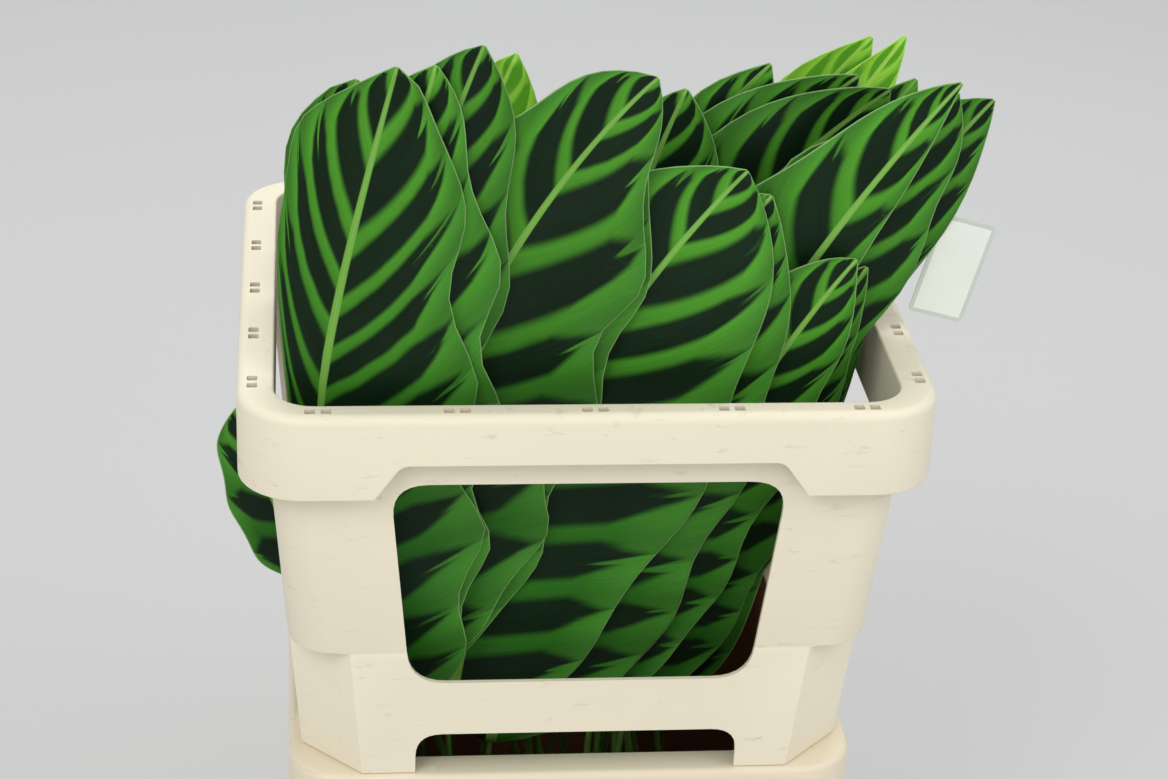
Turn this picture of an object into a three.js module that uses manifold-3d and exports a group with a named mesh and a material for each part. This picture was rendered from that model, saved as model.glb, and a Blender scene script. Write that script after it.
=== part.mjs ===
// Bucket of cut zebra plant leaves: a plain tapered flower bucket, an open collar that stands on its rim,
// a shallow fill of water, and large striped leaves packed upright from the front wall to the rear one.
// Millimetres, +Z up, the front towards -Y, origin at the middle of the bucket's underside.
import * as THREE from 'three';
import { mergeVertices } from 'three/addons/utils/BufferGeometryUtils.js';
import Module from 'manifold-3d';

const wasm = await Module();
wasm.setup();

// Driving dimensions
const GAP = 0.3;
const WALL = 3;
const CURVE_STEPS = 4;
const CUT_FROM = 100;
const CUT_TO = 230;

const BUCKET_HEIGHT = 278.7;
const BUCKET_FOOT = [300, 250];
const BUCKET_MOUTH = [308, 258];
const BUCKET_RIM = [346, 296];
const BUCKET_SKIRT = 34;
const BUCKET_FLOOR = 4;
const BUCKET_CORNER = 34;

const COLLAR_FOOT_Z = BUCKET_HEIGHT + GAP;
const COLLAR_HEIGHT = 256;
const COLLAR_TOP = COLLAR_FOOT_Z + COLLAR_HEIGHT;
const COLLAR_RIM = [400, 350];
const COLLAR_RIM_CORNER = 38;
const COLLAR_INSET = [18, 13.1];
const COLLAR_TAPER = 0.084;
const COLLAR_CORNER = 26;
const SKIRT_DROP = 52.5;
const NOTCH_RISE = 22;
const NOTCH_SLANT = 16;
const STEP_DROP = 166.5;
const STEP_CHAMFER = 36;
const CHAMFER_INSET = 2 - Math.SQRT2;

const WINDOW_TOP = 49.4;
const WINDOW_BOTTOM = 189;
const WINDOW_CORNER = 22;
const LOWER_SLOT_HEIGHT = 29;
const LOWER_SLOT_CORNER = 16;
// Half widths of the window's top, the window's foot, the lower slot and the notch, in the long and end walls
const LONG_WALL = { top: 114, foot: 101, slot: 97, notch: 108 };
const END_WALL = { top: 92, foot: 80, slot: 76, notch: 86 };

const DRAIN_SLOT = 6;
const DRAIN_SLOT_APART = 9;
const DRAIN_SLOT_INSET = 8.8;
const DRAIN_PITCH_LONG = 77.2;
const DRAIN_PITCH_END = 64.2;

const WATER_DEPTH = 95;

const BLADE = 1;
const RIB = 3.2;
const STALK = 4.2;
const STALK_CLEARANCE = 0.4;
const STALK_PULL = 50;
const STALK_STEPS = 4;
const STALK_STRAIGHT = BUCKET_FLOOR + WATER_DEPTH + 6;
const BLADE_ROWS = 16;
const BLADE_COLUMNS = 4;
const RIB_SPREAD = 0.6;
const LEAST_BASE = 3.2;
const LEAST_TIP = 1.2;
const BASE_FULLNESS = 0.6;
const END_CROWDING = 0.5;
const BASE_WAVE = 0.4;

const CARD_SIZE = [36, 62];
const CARD_THICK = 0.8;
const CARD_GRID = 3;
const CARD_PLACE = [222, 38];
const CARD_TILT = 16;
const CARD_LAYER = 0.2575;

const material = (color, roughness, extra = {}) =>
  new THREE.MeshStandardMaterial({ color, roughness, metalness: 0, ...extra });

const creamPlastic = material(0xefe7cb, 0.45);
const bucketPlastic = material(0xe9dfc2, 0.5);
const clearWater = material(0xbfd6c9, 0.05, { transparent: true, opacity: 0.5 });
const leafGreen = material(0x3f7d22, 0.42);
const leafLime = material(0x7bc82e, 0.42);
const cardPlastic = material(0xe6eee8, 0.3);

const part = new THREE.Group();

function addMesh(name, geometry, surface) {
  const mesh = new THREE.Mesh(geometry, surface);
  mesh.name = name;
  part.add(mesh);
  return mesh;
}

// Booleans
function solid(geometry) {
  const bare = geometry.clone();
  bare.deleteAttribute('normal');
  bare.deleteAttribute('uv');
  const merged = mergeVertices(bare, 1e-4);
  return new wasm.Manifold(new wasm.Mesh({
    numProp: 3,
    vertProperties: new Float32Array(merged.attributes.position.array),
    triVerts: new Uint32Array(merged.index.array),
  }));
}

function geometryOf(body) {
  const mesh = body.getMesh();
  const geometry = new THREE.BufferGeometry();
  geometry.setAttribute('position', new THREE.BufferAttribute(new Float32Array(mesh.vertProperties), 3));
  geometry.setIndex(new THREE.BufferAttribute(new Uint32Array(mesh.triVerts), 1));
  return geometry;
}

// A rounded or chamfered rectangle as a shape
function plate(width, depth, corner, chamfered = false) {
  const x = width / 2;
  const y = depth / 2;
  const shape = new THREE.Shape();
  shape.moveTo(x - corner, -y);
  const corners = [
    { from: [x - corner, -y], at: [x, -y], to: [x, -y + corner] },
    { from: [x, y - corner], at: [x, y], to: [x - corner, y] },
    { from: [-x + corner, y], at: [-x, y], to: [-x, y - corner] },
    { from: [-x, -y + corner], at: [-x, -y], to: [-x + corner, -y] },
  ];
  for (const { from, at, to } of corners) {
    shape.lineTo(...from);
    if (chamfered) shape.lineTo(...to);
    else shape.quadraticCurveTo(...at, ...to);
  }
  return shape;
}

// A plain box between two opposite corners
function boxBetween([x0, y0, z0], [x1, y1, z1]) {
  const box = new THREE.BoxGeometry(x1 - x0, y1 - y0, z1 - z0);
  box.translate((x0 + x1) / 2, (y0 + y1) / 2, (z0 + z1) / 2);
  return solid(box);
}

// An upright block of that outline from z0 to z1, whose size at the top is given and changes by taper per mm
function block(top, corner, z0, z1, taper = 0, chamfered = false) {
  const geometry = new THREE.ExtrudeGeometry(plate(top[0], top[1], corner, chamfered), {
    depth: z1 - z0,
    bevelEnabled: false,
    curveSegments: CURVE_STEPS,
  });
  geometry.translate(0, 0, z0);
  const place = geometry.attributes.position;
  for (let i = 0; i < place.count; i++) {
    const shrink = 2 * taper * (z1 - place.getZ(i));
    place.setX(i, place.getX(i) * (1 - shrink / top[0]));
    place.setY(i, place.getY(i) * (1 - shrink / top[1]));
  }
  return solid(geometry);
}

// A cutter that runs through one wall: an outline in the wall's plane, pushed outwards from near the middle
function wallCutter(shape, endWall, side) {
  const geometry = new THREE.ExtrudeGeometry(shape, {
    depth: CUT_TO - CUT_FROM,
    bevelEnabled: false,
    curveSegments: CURVE_STEPS,
  });
  geometry.translate(0, 0, CUT_FROM);
  geometry.rotateX(Math.PI / 2);
  geometry.rotateZ(endWall ? side * Math.PI / 2 : (side > 0 ? 0 : Math.PI));
  return solid(geometry);
}

function trapezoid(topHalf, footHalf, zTop, zFoot) {
  const shape = new THREE.Shape();
  shape.moveTo(-footHalf, zFoot);
  shape.lineTo(footHalf, zFoot);
  shape.lineTo(topHalf, zTop);
  shape.lineTo(-topHalf, zTop);
  return shape;
}

function roundedTrapezoid(topHalf, footHalf, zTop, zFoot, corner) {
  const slope = (topHalf - footHalf) / (zTop - zFoot);
  const drift = slope * corner;
  const shape = new THREE.Shape();
  shape.moveTo(-footHalf + corner, zFoot);
  shape.lineTo(footHalf - corner, zFoot);
  shape.quadraticCurveTo(footHalf, zFoot, footHalf + drift, zFoot + corner);
  shape.lineTo(topHalf - drift, zTop - corner);
  shape.quadraticCurveTo(topHalf, zTop, topHalf - corner, zTop);
  shape.lineTo(-topHalf + corner, zTop);
  shape.quadraticCurveTo(-topHalf, zTop, -topHalf + drift, zTop - corner);
  shape.lineTo(-footHalf - drift, zFoot + corner);
  shape.quadraticCurveTo(-footHalf, zFoot, -footHalf + corner, zFoot);
  return shape;
}

function archSlot(half, zFoot, zTop, corner) {
  const shape = new THREE.Shape();
  shape.moveTo(-half, zFoot);
  shape.lineTo(half, zFoot);
  shape.lineTo(half, zTop - corner);
  shape.quadraticCurveTo(half, zTop, half - corner, zTop);
  shape.lineTo(-half + corner, zTop);
  shape.quadraticCurveTo(-half, zTop, -half, zTop - corner);
  return shape;
}

const inward = ([width, depth], byX, byY = byX) => [width - 2 * byX, depth - 2 * byY];

// The bucket: tapered walls, a flat land round the mouth and a skirt that hangs from the land's outer edge
const bucketTaper = (BUCKET_MOUTH[0] - BUCKET_FOOT[0]) / 2 / BUCKET_HEIGHT;

function buildBucket() {
  const rim = block(BUCKET_RIM, BUCKET_CORNER, BUCKET_HEIGHT - BUCKET_SKIRT, BUCKET_HEIGHT);
  const underRim = block(inward(BUCKET_RIM, WALL), BUCKET_CORNER - WALL,
    BUCKET_HEIGHT - BUCKET_SKIRT - 1, BUCKET_HEIGHT - WALL);
  const walls = block(BUCKET_MOUTH, BUCKET_CORNER, 0, BUCKET_HEIGHT, bucketTaper);
  const inside = block(inward(BUCKET_MOUTH, WALL), BUCKET_CORNER - WALL,
    BUCKET_FLOOR, BUCKET_HEIGHT + 1, bucketTaper);
  return rim.subtract(underRim).add(walls).subtract(inside);
}

// The collar
function collarSizeAt(drop) {
  const lean = COLLAR_TAPER * Math.max(0, drop - SKIRT_DROP);
  return inward(COLLAR_RIM, COLLAR_INSET[0] + lean, COLLAR_INSET[1] + lean);
}

function wallOpenings(wall, endWall, side) {
  const z = (drop) => COLLAR_TOP - drop;
  const window = roundedTrapezoid(wall.top, wall.foot, z(WINDOW_TOP), z(WINDOW_BOTTOM), WINDOW_CORNER);
  const slot = archSlot(wall.slot, COLLAR_FOOT_Z - 1, COLLAR_FOOT_Z + LOWER_SLOT_HEIGHT, LOWER_SLOT_CORNER);
  return wallCutter(window, endWall, side).add(wallCutter(slot, endWall, side));
}

function skirtNotch(wall, endWall, side) {
  const zFoot = COLLAR_TOP - SKIRT_DROP;
  const slant = NOTCH_SLANT / NOTCH_RISE;
  const shape = trapezoid(wall.notch, wall.notch + NOTCH_SLANT + slant, zFoot + NOTCH_RISE, zFoot - 1);
  return wallCutter(shape, endWall, side);
}

function drainSlots() {
  const slots = [];
  const rows = [
    { pitch: DRAIN_PITCH_LONG, reach: COLLAR_RIM[1] / 2 - DRAIN_SLOT_INSET, turned: false },
    { pitch: DRAIN_PITCH_END, reach: COLLAR_RIM[0] / 2 - DRAIN_SLOT_INSET, turned: true },
  ];
  for (const { pitch, reach, turned } of rows) {
    for (let pair = -2; pair <= 2; pair++) {
      for (const half of [-0.5, 0.5]) {
        for (const side of [-1, 1]) {
          const along = pair * pitch + half * DRAIN_SLOT_APART;
          const [x, y] = turned ? [side * reach, along] : [along, side * reach];
          slots.push(boxBetween(
            [x - DRAIN_SLOT / 2, y - DRAIN_SLOT / 2, COLLAR_TOP - 2 * WALL],
            [x + DRAIN_SLOT / 2, y + DRAIN_SLOT / 2, COLLAR_TOP + 1],
          ));
        }
      }
    }
  }
  return slots.reduce((all, slot) => all.add(slot));
}

function buildCollar() {
  const skirtFoot = COLLAR_TOP - SKIRT_DROP;
  const stepZ = COLLAR_TOP - STEP_DROP;
  const walls = [[LONG_WALL, false], [END_WALL, true]];
  let rim = block(COLLAR_RIM, COLLAR_RIM_CORNER, skirtFoot, COLLAR_TOP);
  rim = rim.subtract(block(inward(COLLAR_RIM, WALL), COLLAR_RIM_CORNER - WALL,
    skirtFoot - 1, COLLAR_TOP - WALL));
  for (const [wall, endWall] of walls) {
    for (const side of [-1, 1]) rim = rim.subtract(skirtNotch(wall, endWall, side));
  }
  const upright = block(collarSizeAt(0), COLLAR_CORNER, skirtFoot - 1, COLLAR_TOP);
  const upper = block(collarSizeAt(SKIRT_DROP), COLLAR_CORNER, stepZ, skirtFoot, COLLAR_TAPER);
  const lower = block(collarSizeAt(STEP_DROP), STEP_CHAMFER, COLLAR_FOOT_Z, stepZ, COLLAR_TAPER, true);
  const upperInside = block(inward(collarSizeAt(SKIRT_DROP), WALL), COLLAR_CORNER - WALL,
    stepZ + WALL, skirtFoot, COLLAR_TAPER);
  const lowerInside = block(inward(collarSizeAt(STEP_DROP - WALL), WALL), STEP_CHAMFER - WALL * CHAMFER_INSET,
    COLLAR_FOOT_Z - 1, stepZ + WALL + 0.01, COLLAR_TAPER, true);
  const mouth = block(inward(collarSizeAt(0), WALL), COLLAR_CORNER - WALL, skirtFoot - 0.01, COLLAR_TOP + 1);
  let collar = rim.add(upright).add(upper).add(lower);
  collar = collar.subtract(upperInside).subtract(lowerInside).subtract(mouth);
  for (const [wall, endWall] of walls) {
    for (const side of [-1, 1]) collar = collar.subtract(wallOpenings(wall, endWall, side));
  }
  return collar.subtract(drainSlots());
}

// The collar is one moulding. It is given as the bars of its frame, a hair apart, so that each is a simple
// shape: the band round the top with its skirt, a rail under each window and a post at each corner.
function collarBars(collar) {
  const windowTop = COLLAR_TOP - WINDOW_TOP;
  const far = CUT_TO;
  const railX = LONG_WALL.foot - WINDOW_CORNER;
  const railY = END_WALL.foot - WINDOW_CORNER;
  const withinSkirt = inward(COLLAR_RIM, COLLAR_INSET[0] - 1, COLLAR_INSET[1] - 1);
  const bars = { collar_rim: collar.subtract(block(withinSkirt, COLLAR_CORNER + 1, 0, windowTop + GAP)) };
  const frame = collar.intersect(block(withinSkirt, COLLAR_CORNER + 1, 0, windowTop));
  for (const [end, sideY] of [['front', -1], ['rear', 1]]) {
    const reach = [sideY * CUT_FROM, sideY * far].sort((a, b) => a - b);
    const rail = boxBetween([-railX, reach[0], 0], [railX, reach[1], windowTop]);
    bars[`collar_rail_${end}`] = frame.intersect(rail);
    for (const [hand, sideX] of [['left', -1], ['right', 1]]) {
      const spanX = [sideX * (railX + GAP), sideX * far].sort((a, b) => a - b);
      const spanY = [sideY * (railY + GAP), sideY * far].sort((a, b) => a - b);
      const post = boxBetween([spanX[0], spanY[0], 0], [spanX[1], spanY[1], windowTop]);
      bars[`collar_post_${end}_${hand}`] = frame.intersect(post);
    }
  }
  for (const [hand, sideX] of [['left', -1], ['right', 1]]) {
    const reach = [sideX * CUT_FROM, sideX * far].sort((a, b) => a - b);
    const rail = boxBetween([reach[0], -railY, 0], [reach[1], railY, windowTop]);
    bars[`collar_rail_${hand}`] = frame.intersect(rail);
  }
  return bars;
}

// The leaves lie in nested layers, like pages. Layer 0 is against the front wall and layer 1 against the rear
// one, and no two layers meet, so leaves of different layers never cross.
const HALF_DEPTH = 142;
const COLLAR_DEPTH_TAPER = 0.104;
const BUCKET_DEPTH_TAPER = 0.02;
const FRONT_RISE = -0.05;
const REAR_RISE = 0.2;
const LEFT_WRAP = 0.2;
const SIDE_REACH = 190;
const RIDGE_HEIGHT = 7;
const RIDGE_SPACING = 250;
const RIDGE_START = 125;
const RIDGE_LEAN = 0.2;
const RIDGE_DRIFT = 60;
const RIDGE_FADE = [290, 430];
const RIDGE_LOSS = 0.3;
const WRAP_LIMIT = 1.3;

const { lerp, smoothstep, degToRad } = THREE.MathUtils;

function layerDepth(layer, x, z) {
  const above = z - COLLAR_TOP;
  const inCollar = Math.min(Math.max(-above, 0), COLLAR_HEIGHT);
  const inBucket = Math.max(-above - COLLAR_HEIGHT, 0);
  const half = HALF_DEPTH - COLLAR_DEPTH_TAPER * inCollar - BUCKET_DEPTH_TAPER * inBucket;
  const front = -(half + FRONT_RISE * Math.max(above, 0));
  const rear = half + REAR_RISE * Math.max(above, 0);
  const wrap = x < 0 ? 1 - LEFT_WRAP * Math.min(WRAP_LIMIT, -x / SIDE_REACH) ** 3 : 1;
  const across = x + RIDGE_START - RIDGE_LEAN * above + RIDGE_DRIFT * layer;
  const height = RIDGE_HEIGHT * (1 - RIDGE_LOSS * layer) * smoothstep(z, RIDGE_FADE[0], RIDGE_FADE[1]);
  const ridge = height * Math.cos(across * 2 * Math.PI / RIDGE_SPACING);
  return lerp(front, rear, 0.5 + (layer - 0.5) * wrap) - ridge;
}

// Half of the room between the end walls at a height, which a leaf's margin bends to stay inside. Above the
// collar the leaves may spread, less to the left than to the right.
const TOP_ROOM = 174;
const LEFT_SPREAD = 0.07;
const RIGHT_SPREAD = 0.9;
const COLLAR_ROOM_TAPER = 0.15;
const BUCKET_ROOM = 135;
const FREE_SHARE = 0.85;

function roomAt(x, z) {
  const drop = COLLAR_TOP - z;
  if (drop < 0) return TOP_ROOM - drop * (x < 0 ? LEFT_SPREAD : RIGHT_SPREAD);
  return drop < COLLAR_HEIGHT ? TOP_ROOM - COLLAR_ROOM_TAPER * drop : BUCKET_ROOM;
}

function squeeze(x, z) {
  const room = roomAt(x, z);
  const free = room * FREE_SHARE;
  const size = Math.abs(x);
  if (size <= free) return x;
  return Math.sign(x) * (room - (room - free) * Math.exp(-(size - free) / (room - free)));
}

// tip: x and height above the collar's top. lean: degrees from upright at the tip, halfway and at the base.
// foot: x of the stalk's foot on the bucket's floor. halves: how full the left and right halves are.
// blunt, left and right: 2 draws the blade out to its point, 4 keeps it broad. round, left and right: 0.5
// rounds the tip off, 0.8 leaves it pointed. belly: where it is widest, 0 base to 1 tip. wave: waves along the margin, their depth as a share of the width, which they reach at the
// tip, and their phases on the left and on the right.
const PLAIN = {
  halves: [1, 1], blunt: [3, 3], round: [0.8, 0.8], belly: 0.42, wave: [2.6, 0.08, 0, 2],
  outside: false, young: false,
};
const LEAVES = [
  { layer: 0.010, tip: [-111, 188], lean: [14, 6, -18], length: 465, width: 184, foot: -100,
    halves: [0.92, 1.05], blunt: [2.6, 1.2], round: [0.8, 0.5], belly: 0.36, wave: [4.1, 0.13, 3, 4.55] },
  { layer: 0.032, tip: [-90, 188], lean: [14, 8, -16], length: 445, width: 168, foot: -80,
    halves: [0.9, 1.02], blunt: [2.6, 2.1], belly: 0.36, wave: [4.4, 0.14, 0, 5.6] },
  { layer: 0.054, tip: [-64, 197], lean: [20, 14, -10], length: 430, width: 144, foot: -66,
    halves: [1, 0.92], blunt: [3, 3], wave: [4, 0.1, 1, 3.2] },
  { layer: 0.076, tip: [34, 173], lean: [45, 20, -8], length: 430, width: 168, foot: -84,
    blunt: [2.8, 2.6], wave: [4, 0.14, 2, 1.3] },
  { layer: 0.098, tip: [26, 156], lean: [40, 20, -2], length: 415, width: 166, foot: -66,
    wave: [3.6, 0.1, 0, 2.4] },
  { layer: 0.120, tip: [88, 117], lean: [40, 24, 4], length: 415, width: 186, foot: -50,
    halves: [0.9, 1], blunt: [2.8, 3.6], wave: [2, 0.12, 3, 1.57] },
  { layer: 0.142, tip: [103, 101], lean: [34, 22, 8], length: 410, width: 172, foot: -34,
    halves: [1, 1], blunt: [3, 2.6], wave: [3.3, 0.07, 1, 2] },
  { layer: 0.164, tip: [156, 60], lean: [38, 24, 10], length: 340, width: 116, foot: 16,
    halves: [1.1, 0.86], blunt: [3.4, 2.5], wave: [3.4, 0.1, 4, 1.4] },
  { layer: 0.186, tip: [164, 52], lean: [30, 22, 12], length: 335, width: 116, foot: 34,
    halves: [1, 0.8], blunt: [3, 2], wave: [3.4, 0.1, 2, 4] },
  { layer: 0.208, tip: [214, 158], lean: [42, 27, 8], length: 430, width: 150, foot: 24,
    halves: [1, 0.42], blunt: [1.9, 2.2], wave: [3.2, 0.06, 1, 3] },
  { layer: 0.230, tip: [214, 150], lean: [36, 26, 12], length: 420, width: 134, foot: 48,
    halves: [1, 0.86], blunt: [3, 3.2], wave: [4, 0.16, 0, 2.4] },
  { layer: 0.252, tip: [238, 142], lean: [42, 28, 12], length: 425, width: 134, foot: 62,
    halves: [1, 1], blunt: [3, 2], wave: [4, 0.08, 2, 0] },
  { layer: 0.360, tip: [-203, -66], lean: [-20, -20, -16], length: 126, width: 56, foot: -118,
    outside: true },
  { layer: 0.282, tip: [-10, 140], lean: [24, 12, -2], length: 395, width: 126, foot: -44 },
  { layer: 0.314, tip: [60, 142], lean: [22, 12, 2], length: 395, width: 128, foot: -10,
    blunt: [2.8, 3.6], wave: [3.8, 0.08, 1, 4] },
  { layer: 0.346, tip: [181, 140], lean: [56, 32, 6], length: 415, width: 144, foot: 12,
    halves: [0.72, 1], blunt: [3.4, 3.2] },
  { layer: 0.392, tip: [164, 144], lean: [54, 30, 4], length: 415, width: 140, foot: 0,
    halves: [0.72, 1], blunt: [3.2, 3.6] },
  { layer: 0.424, tip: [113, 148], lean: [44, 24, 2], length: 405, width: 132, foot: -6,
    halves: [0.5, 1], wave: [4.2, 0.12, 2, 1] },
  { layer: 0.456, tip: [205, 133], lean: [40, 17, -2], length: 465, width: 140, foot: 84,
    halves: [0.7, 1] },
  { layer: 0.488, tip: [-130, 131], lean: [14, 4, -16], length: 400, width: 130, foot: -96,
    halves: [0.85, 1], blunt: [3.4, 3.4], round: [0.6, 0.6], wave: [4.4, 0.1, 3, 1] },
  { layer: 0.520, tip: [-34, 140], lean: [24, 8, -4], length: 400, width: 122, foot: -52,
    wave: [4, 0.12, 0, 3], young: true },
  { layer: 0.552, tip: [203, 149], lean: [38, 24, 8], length: 410, width: 104, foot: 66,
    halves: [0.8, 1], blunt: [1.8, 2.2], wave: [4.4, 0.12, 2, 4], young: true },
  { layer: 0.584, tip: [184, 146], lean: [46, 24, 6], length: 410, width: 120, foot: 44,
    halves: [0.6, 1], wave: [4, 0.14, 4, 0], young: true },
  { layer: 0.616, tip: [-104, 104], lean: [4, -2, -8], length: 385, width: 132, foot: -84 },
  { layer: 0.650, tip: [48, 92], lean: [16, 4, -2], length: 380, width: 134, foot: 8 },
  { layer: 0.684, tip: [150, 96], lean: [26, 14, 6], length: 385, width: 134, foot: 70 },
  { layer: 0.718, tip: [-56, 88], lean: [-4, -4, 0], length: 380, width: 134, foot: -46 },
  { layer: 0.752, tip: [92, 80], lean: [12, 6, 2], length: 375, width: 138, foot: 40 },
  { layer: 0.786, tip: [-138, 84], lean: [-8, -6, -8], length: 375, width: 126, foot: -98 },
  { layer: 0.820, tip: [8, 74], lean: [-6, -2, 2], length: 375, width: 138, foot: 4 },
  { layer: 0.856, tip: [158, 80], lean: [14, 12, 8], length: 375, width: 130, foot: 88 },
  { layer: 0.892, tip: [-92, 74], lean: [-10, -6, 2], length: 375, width: 140, foot: -62 },
  { layer: 0.928, tip: [72, 68], lean: [10, 4, 2], length: 370, width: 140, foot: 46 },
  { layer: 0.966, tip: [-26, 58], lean: [-6, 0, 4], length: 365, width: 142, foot: -16 },
].map((leaf) => ({ ...PLAIN, ...leaf }));

// The lean along the blade, on a smooth curve through its three values
function leanAt(leaf, along) {
  const [tip, middle, base] = leaf.lean;
  const rise = 4 * middle - tip - 3 * base;
  const bow = 2 * (tip + base - 2 * middle);
  return degToRad(base + along * rise + along * along * bow);
}

// Where a row lies along the blade. The rows stand closer together towards the base and the tip, which curve
// more.
function rowPlace(i) {
  const share = i / BLADE_ROWS;
  return share - END_CROWDING * Math.sin(2 * Math.PI * share) / (2 * Math.PI);
}

// The blade's midrib in the x-z plane, from base to tip, as places and headings
function midrib(leaf) {
  const points = [];
  let x = leaf.tip[0];
  let z = COLLAR_TOP + leaf.tip[1];
  for (let i = BLADE_ROWS; i >= 0; i--) {
    const along = rowPlace(i);
    points.unshift({ x, z, along, lean: leanAt(leaf, along) });
    const below = rowPlace(i - 1);
    const lean = leanAt(leaf, (along + below) / 2);
    x -= leaf.length * (along - below) * Math.sin(lean);
    z -= leaf.length * (along - below) * Math.cos(lean);
  }
  return points;
}

// Half width along the blade, as a share of the widest: blunt at the base, then tapering to a point
function fullness(along, { belly, blunt, round }, side) {
  if (along < belly) return Math.max(0, 1 - (1 - along / belly) ** 3) ** BASE_FULLNESS;
  return Math.max(0, 1 - ((along - belly) / (1 - belly)) ** blunt[side]) ** round[side];
}

// Half width of the left or right half of the blade, with its waved margin
function halfWidth(leaf, along, side) {
  const [waves, depth, ...phases] = leaf.wave;
  const wave = 1 + depth * lerp(BASE_WAVE, 1, along) * Math.sin(2 * Math.PI * waves * along + phases[side]);
  const least = along < 0.5 ? LEAST_BASE : LEAST_TIP;
  return Math.max(least, 0.5 * leaf.width * leaf.halves[side] * fullness(along, leaf, side) * wave);
}

function ring(centre, leaf) {
  const { along } = centre;
  const front = [];
  const rear = [];
  for (let j = 0; j <= BLADE_COLUMNS; j++) {
    const share = -1 + (2 * j) / BLADE_COLUMNS;
    const half = halfWidth(leaf, along, share < 0 ? 0 : 1);
    const z = centre.z - share * half * Math.sin(centre.lean);
    const flatX = centre.x + share * half * Math.cos(centre.lean);
    const x = leaf.outside ? flatX : squeeze(flatX, z);
    const y = layerDepth(leaf.layer, x, z);
    const deep = lerp(lerp(RIB, BLADE, along), BLADE, Math.min(1, Math.abs(share) / RIB_SPREAD));
    front.push([x, y - BLADE / 2, z]);
    rear.push([x, y - BLADE / 2 + deep, z]);
  }
  return { front, rear };
}

// A square section of the stalk
function stalkRing(x, z, lean, layer, size) {
  const y = layerDepth(layer, x, z);
  const half = size / 2;
  const dx = half * Math.cos(lean);
  const dz = half * Math.sin(lean);
  const near = y - half;
  const far = y + half;
  return [[x - dx, near, z + dz], [x + dx, near, z - dz], [x + dx, far, z - dz], [x - dx, far, z + dz]];
}

// The stalk's line from the blade's base down to the bucket's floor, straight where it stands in the water
function stalkLine(leaf, base) {
  const bend = new THREE.CubicBezierCurve(
    new THREE.Vector2(base.x, base.z),
    new THREE.Vector2(base.x - STALK_PULL * Math.sin(base.lean), base.z - STALK_PULL * Math.cos(base.lean)),
    new THREE.Vector2(leaf.foot, STALK_STRAIGHT + STALK_PULL),
    new THREE.Vector2(leaf.foot, STALK_STRAIGHT),
  );
  const below = bend.getPoints(STALK_STEPS).slice(1);
  const points = below.map((p) => ({ x: p.x, z: p.y, upright: p.y <= STALK_STRAIGHT }));
  points.push({ x: leaf.foot, z: BUCKET_FLOOR + GAP, upright: true });
  return points;
}

// Two closed rings of any counts, joined by a strip of triangles
function stitch(index, lower, upper) {
  let a = 0;
  let b = 0;
  while (a < lower.length || b < upper.length) {
    const nextA = (a + 1) / lower.length;
    const nextB = (b + 1) / upper.length;
    if (b >= upper.length || (a < lower.length && nextA <= nextB)) {
      index.push(lower[a % lower.length], lower[(a + 1) % lower.length], upper[b % upper.length]);
      a++;
    } else {
      index.push(lower[a % lower.length], upper[(b + 1) % upper.length], upper[b % upper.length]);
      b++;
    }
  }
}

// A thin sheet from its cross rings. Both faces are split along the same diagonals, and its two sides and far
// end are closed.
function sheet(rings, index) {
  const last = rings[0].front.length - 1;
  for (let i = 0; i + 1 < rings.length; i++) {
    const [low, high] = [rings[i], rings[i + 1]];
    for (let j = 0; j < last; j++) {
      for (const face of ['front', 'rear']) {
        const [a, b, c, d] = [low[face][j], low[face][j + 1], high[face][j + 1], high[face][j]];
        index.push(...(face === 'front' ? [a, b, c, a, c, d] : [a, c, b, a, d, c]));
      }
    }
    index.push(low.front[0], high.front[0], high.rear[0], low.front[0], high.rear[0], low.rear[0]);
    index.push(low.front[last], low.rear[last], high.rear[last]);
    index.push(low.front[last], high.rear[last], high.front[last]);
  }
  const end = rings[rings.length - 1];
  for (let j = 0; j < last; j++) {
    index.push(end.front[j], end.front[j + 1], end.rear[j + 1], end.front[j], end.rear[j + 1], end.rear[j]);
  }
}

function meshOf(points, index) {
  const geometry = new THREE.BufferGeometry();
  geometry.setAttribute('position', new THREE.BufferAttribute(new Float32Array(points), 3));
  geometry.setIndex(index);
  return geometry;
}

function leafGeometry(leaf) {
  const points = [];
  const index = [];
  const add = (list) => list.map((p) => points.push(...p) / 3 - 1);
  const spine = midrib(leaf);
  const rings = spine.map((centre) => {
    const { front, rear } = ring(centre, leaf);
    return { front: add(front), rear: add(rear) };
  });
  sheet(rings, index);
  let upper = [...rings[0].front, ...[...rings[0].rear].reverse()];
  let before = spine[0];
  for (const point of stalkLine(leaf, spine[0])) {
    const lean = point.upright ? 0 : Math.atan2(before.x - point.x, before.z - point.z);
    const lower = add(stalkRing(point.x, point.z, lean, leaf.layer, STALK));
    stitch(index, lower, upper);
    upper = lower;
    before = point;
  }
  index.push(upper[0], upper[2], upper[1], upper[0], upper[3], upper[2]);
  return meshOf(points, index);
}

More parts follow.
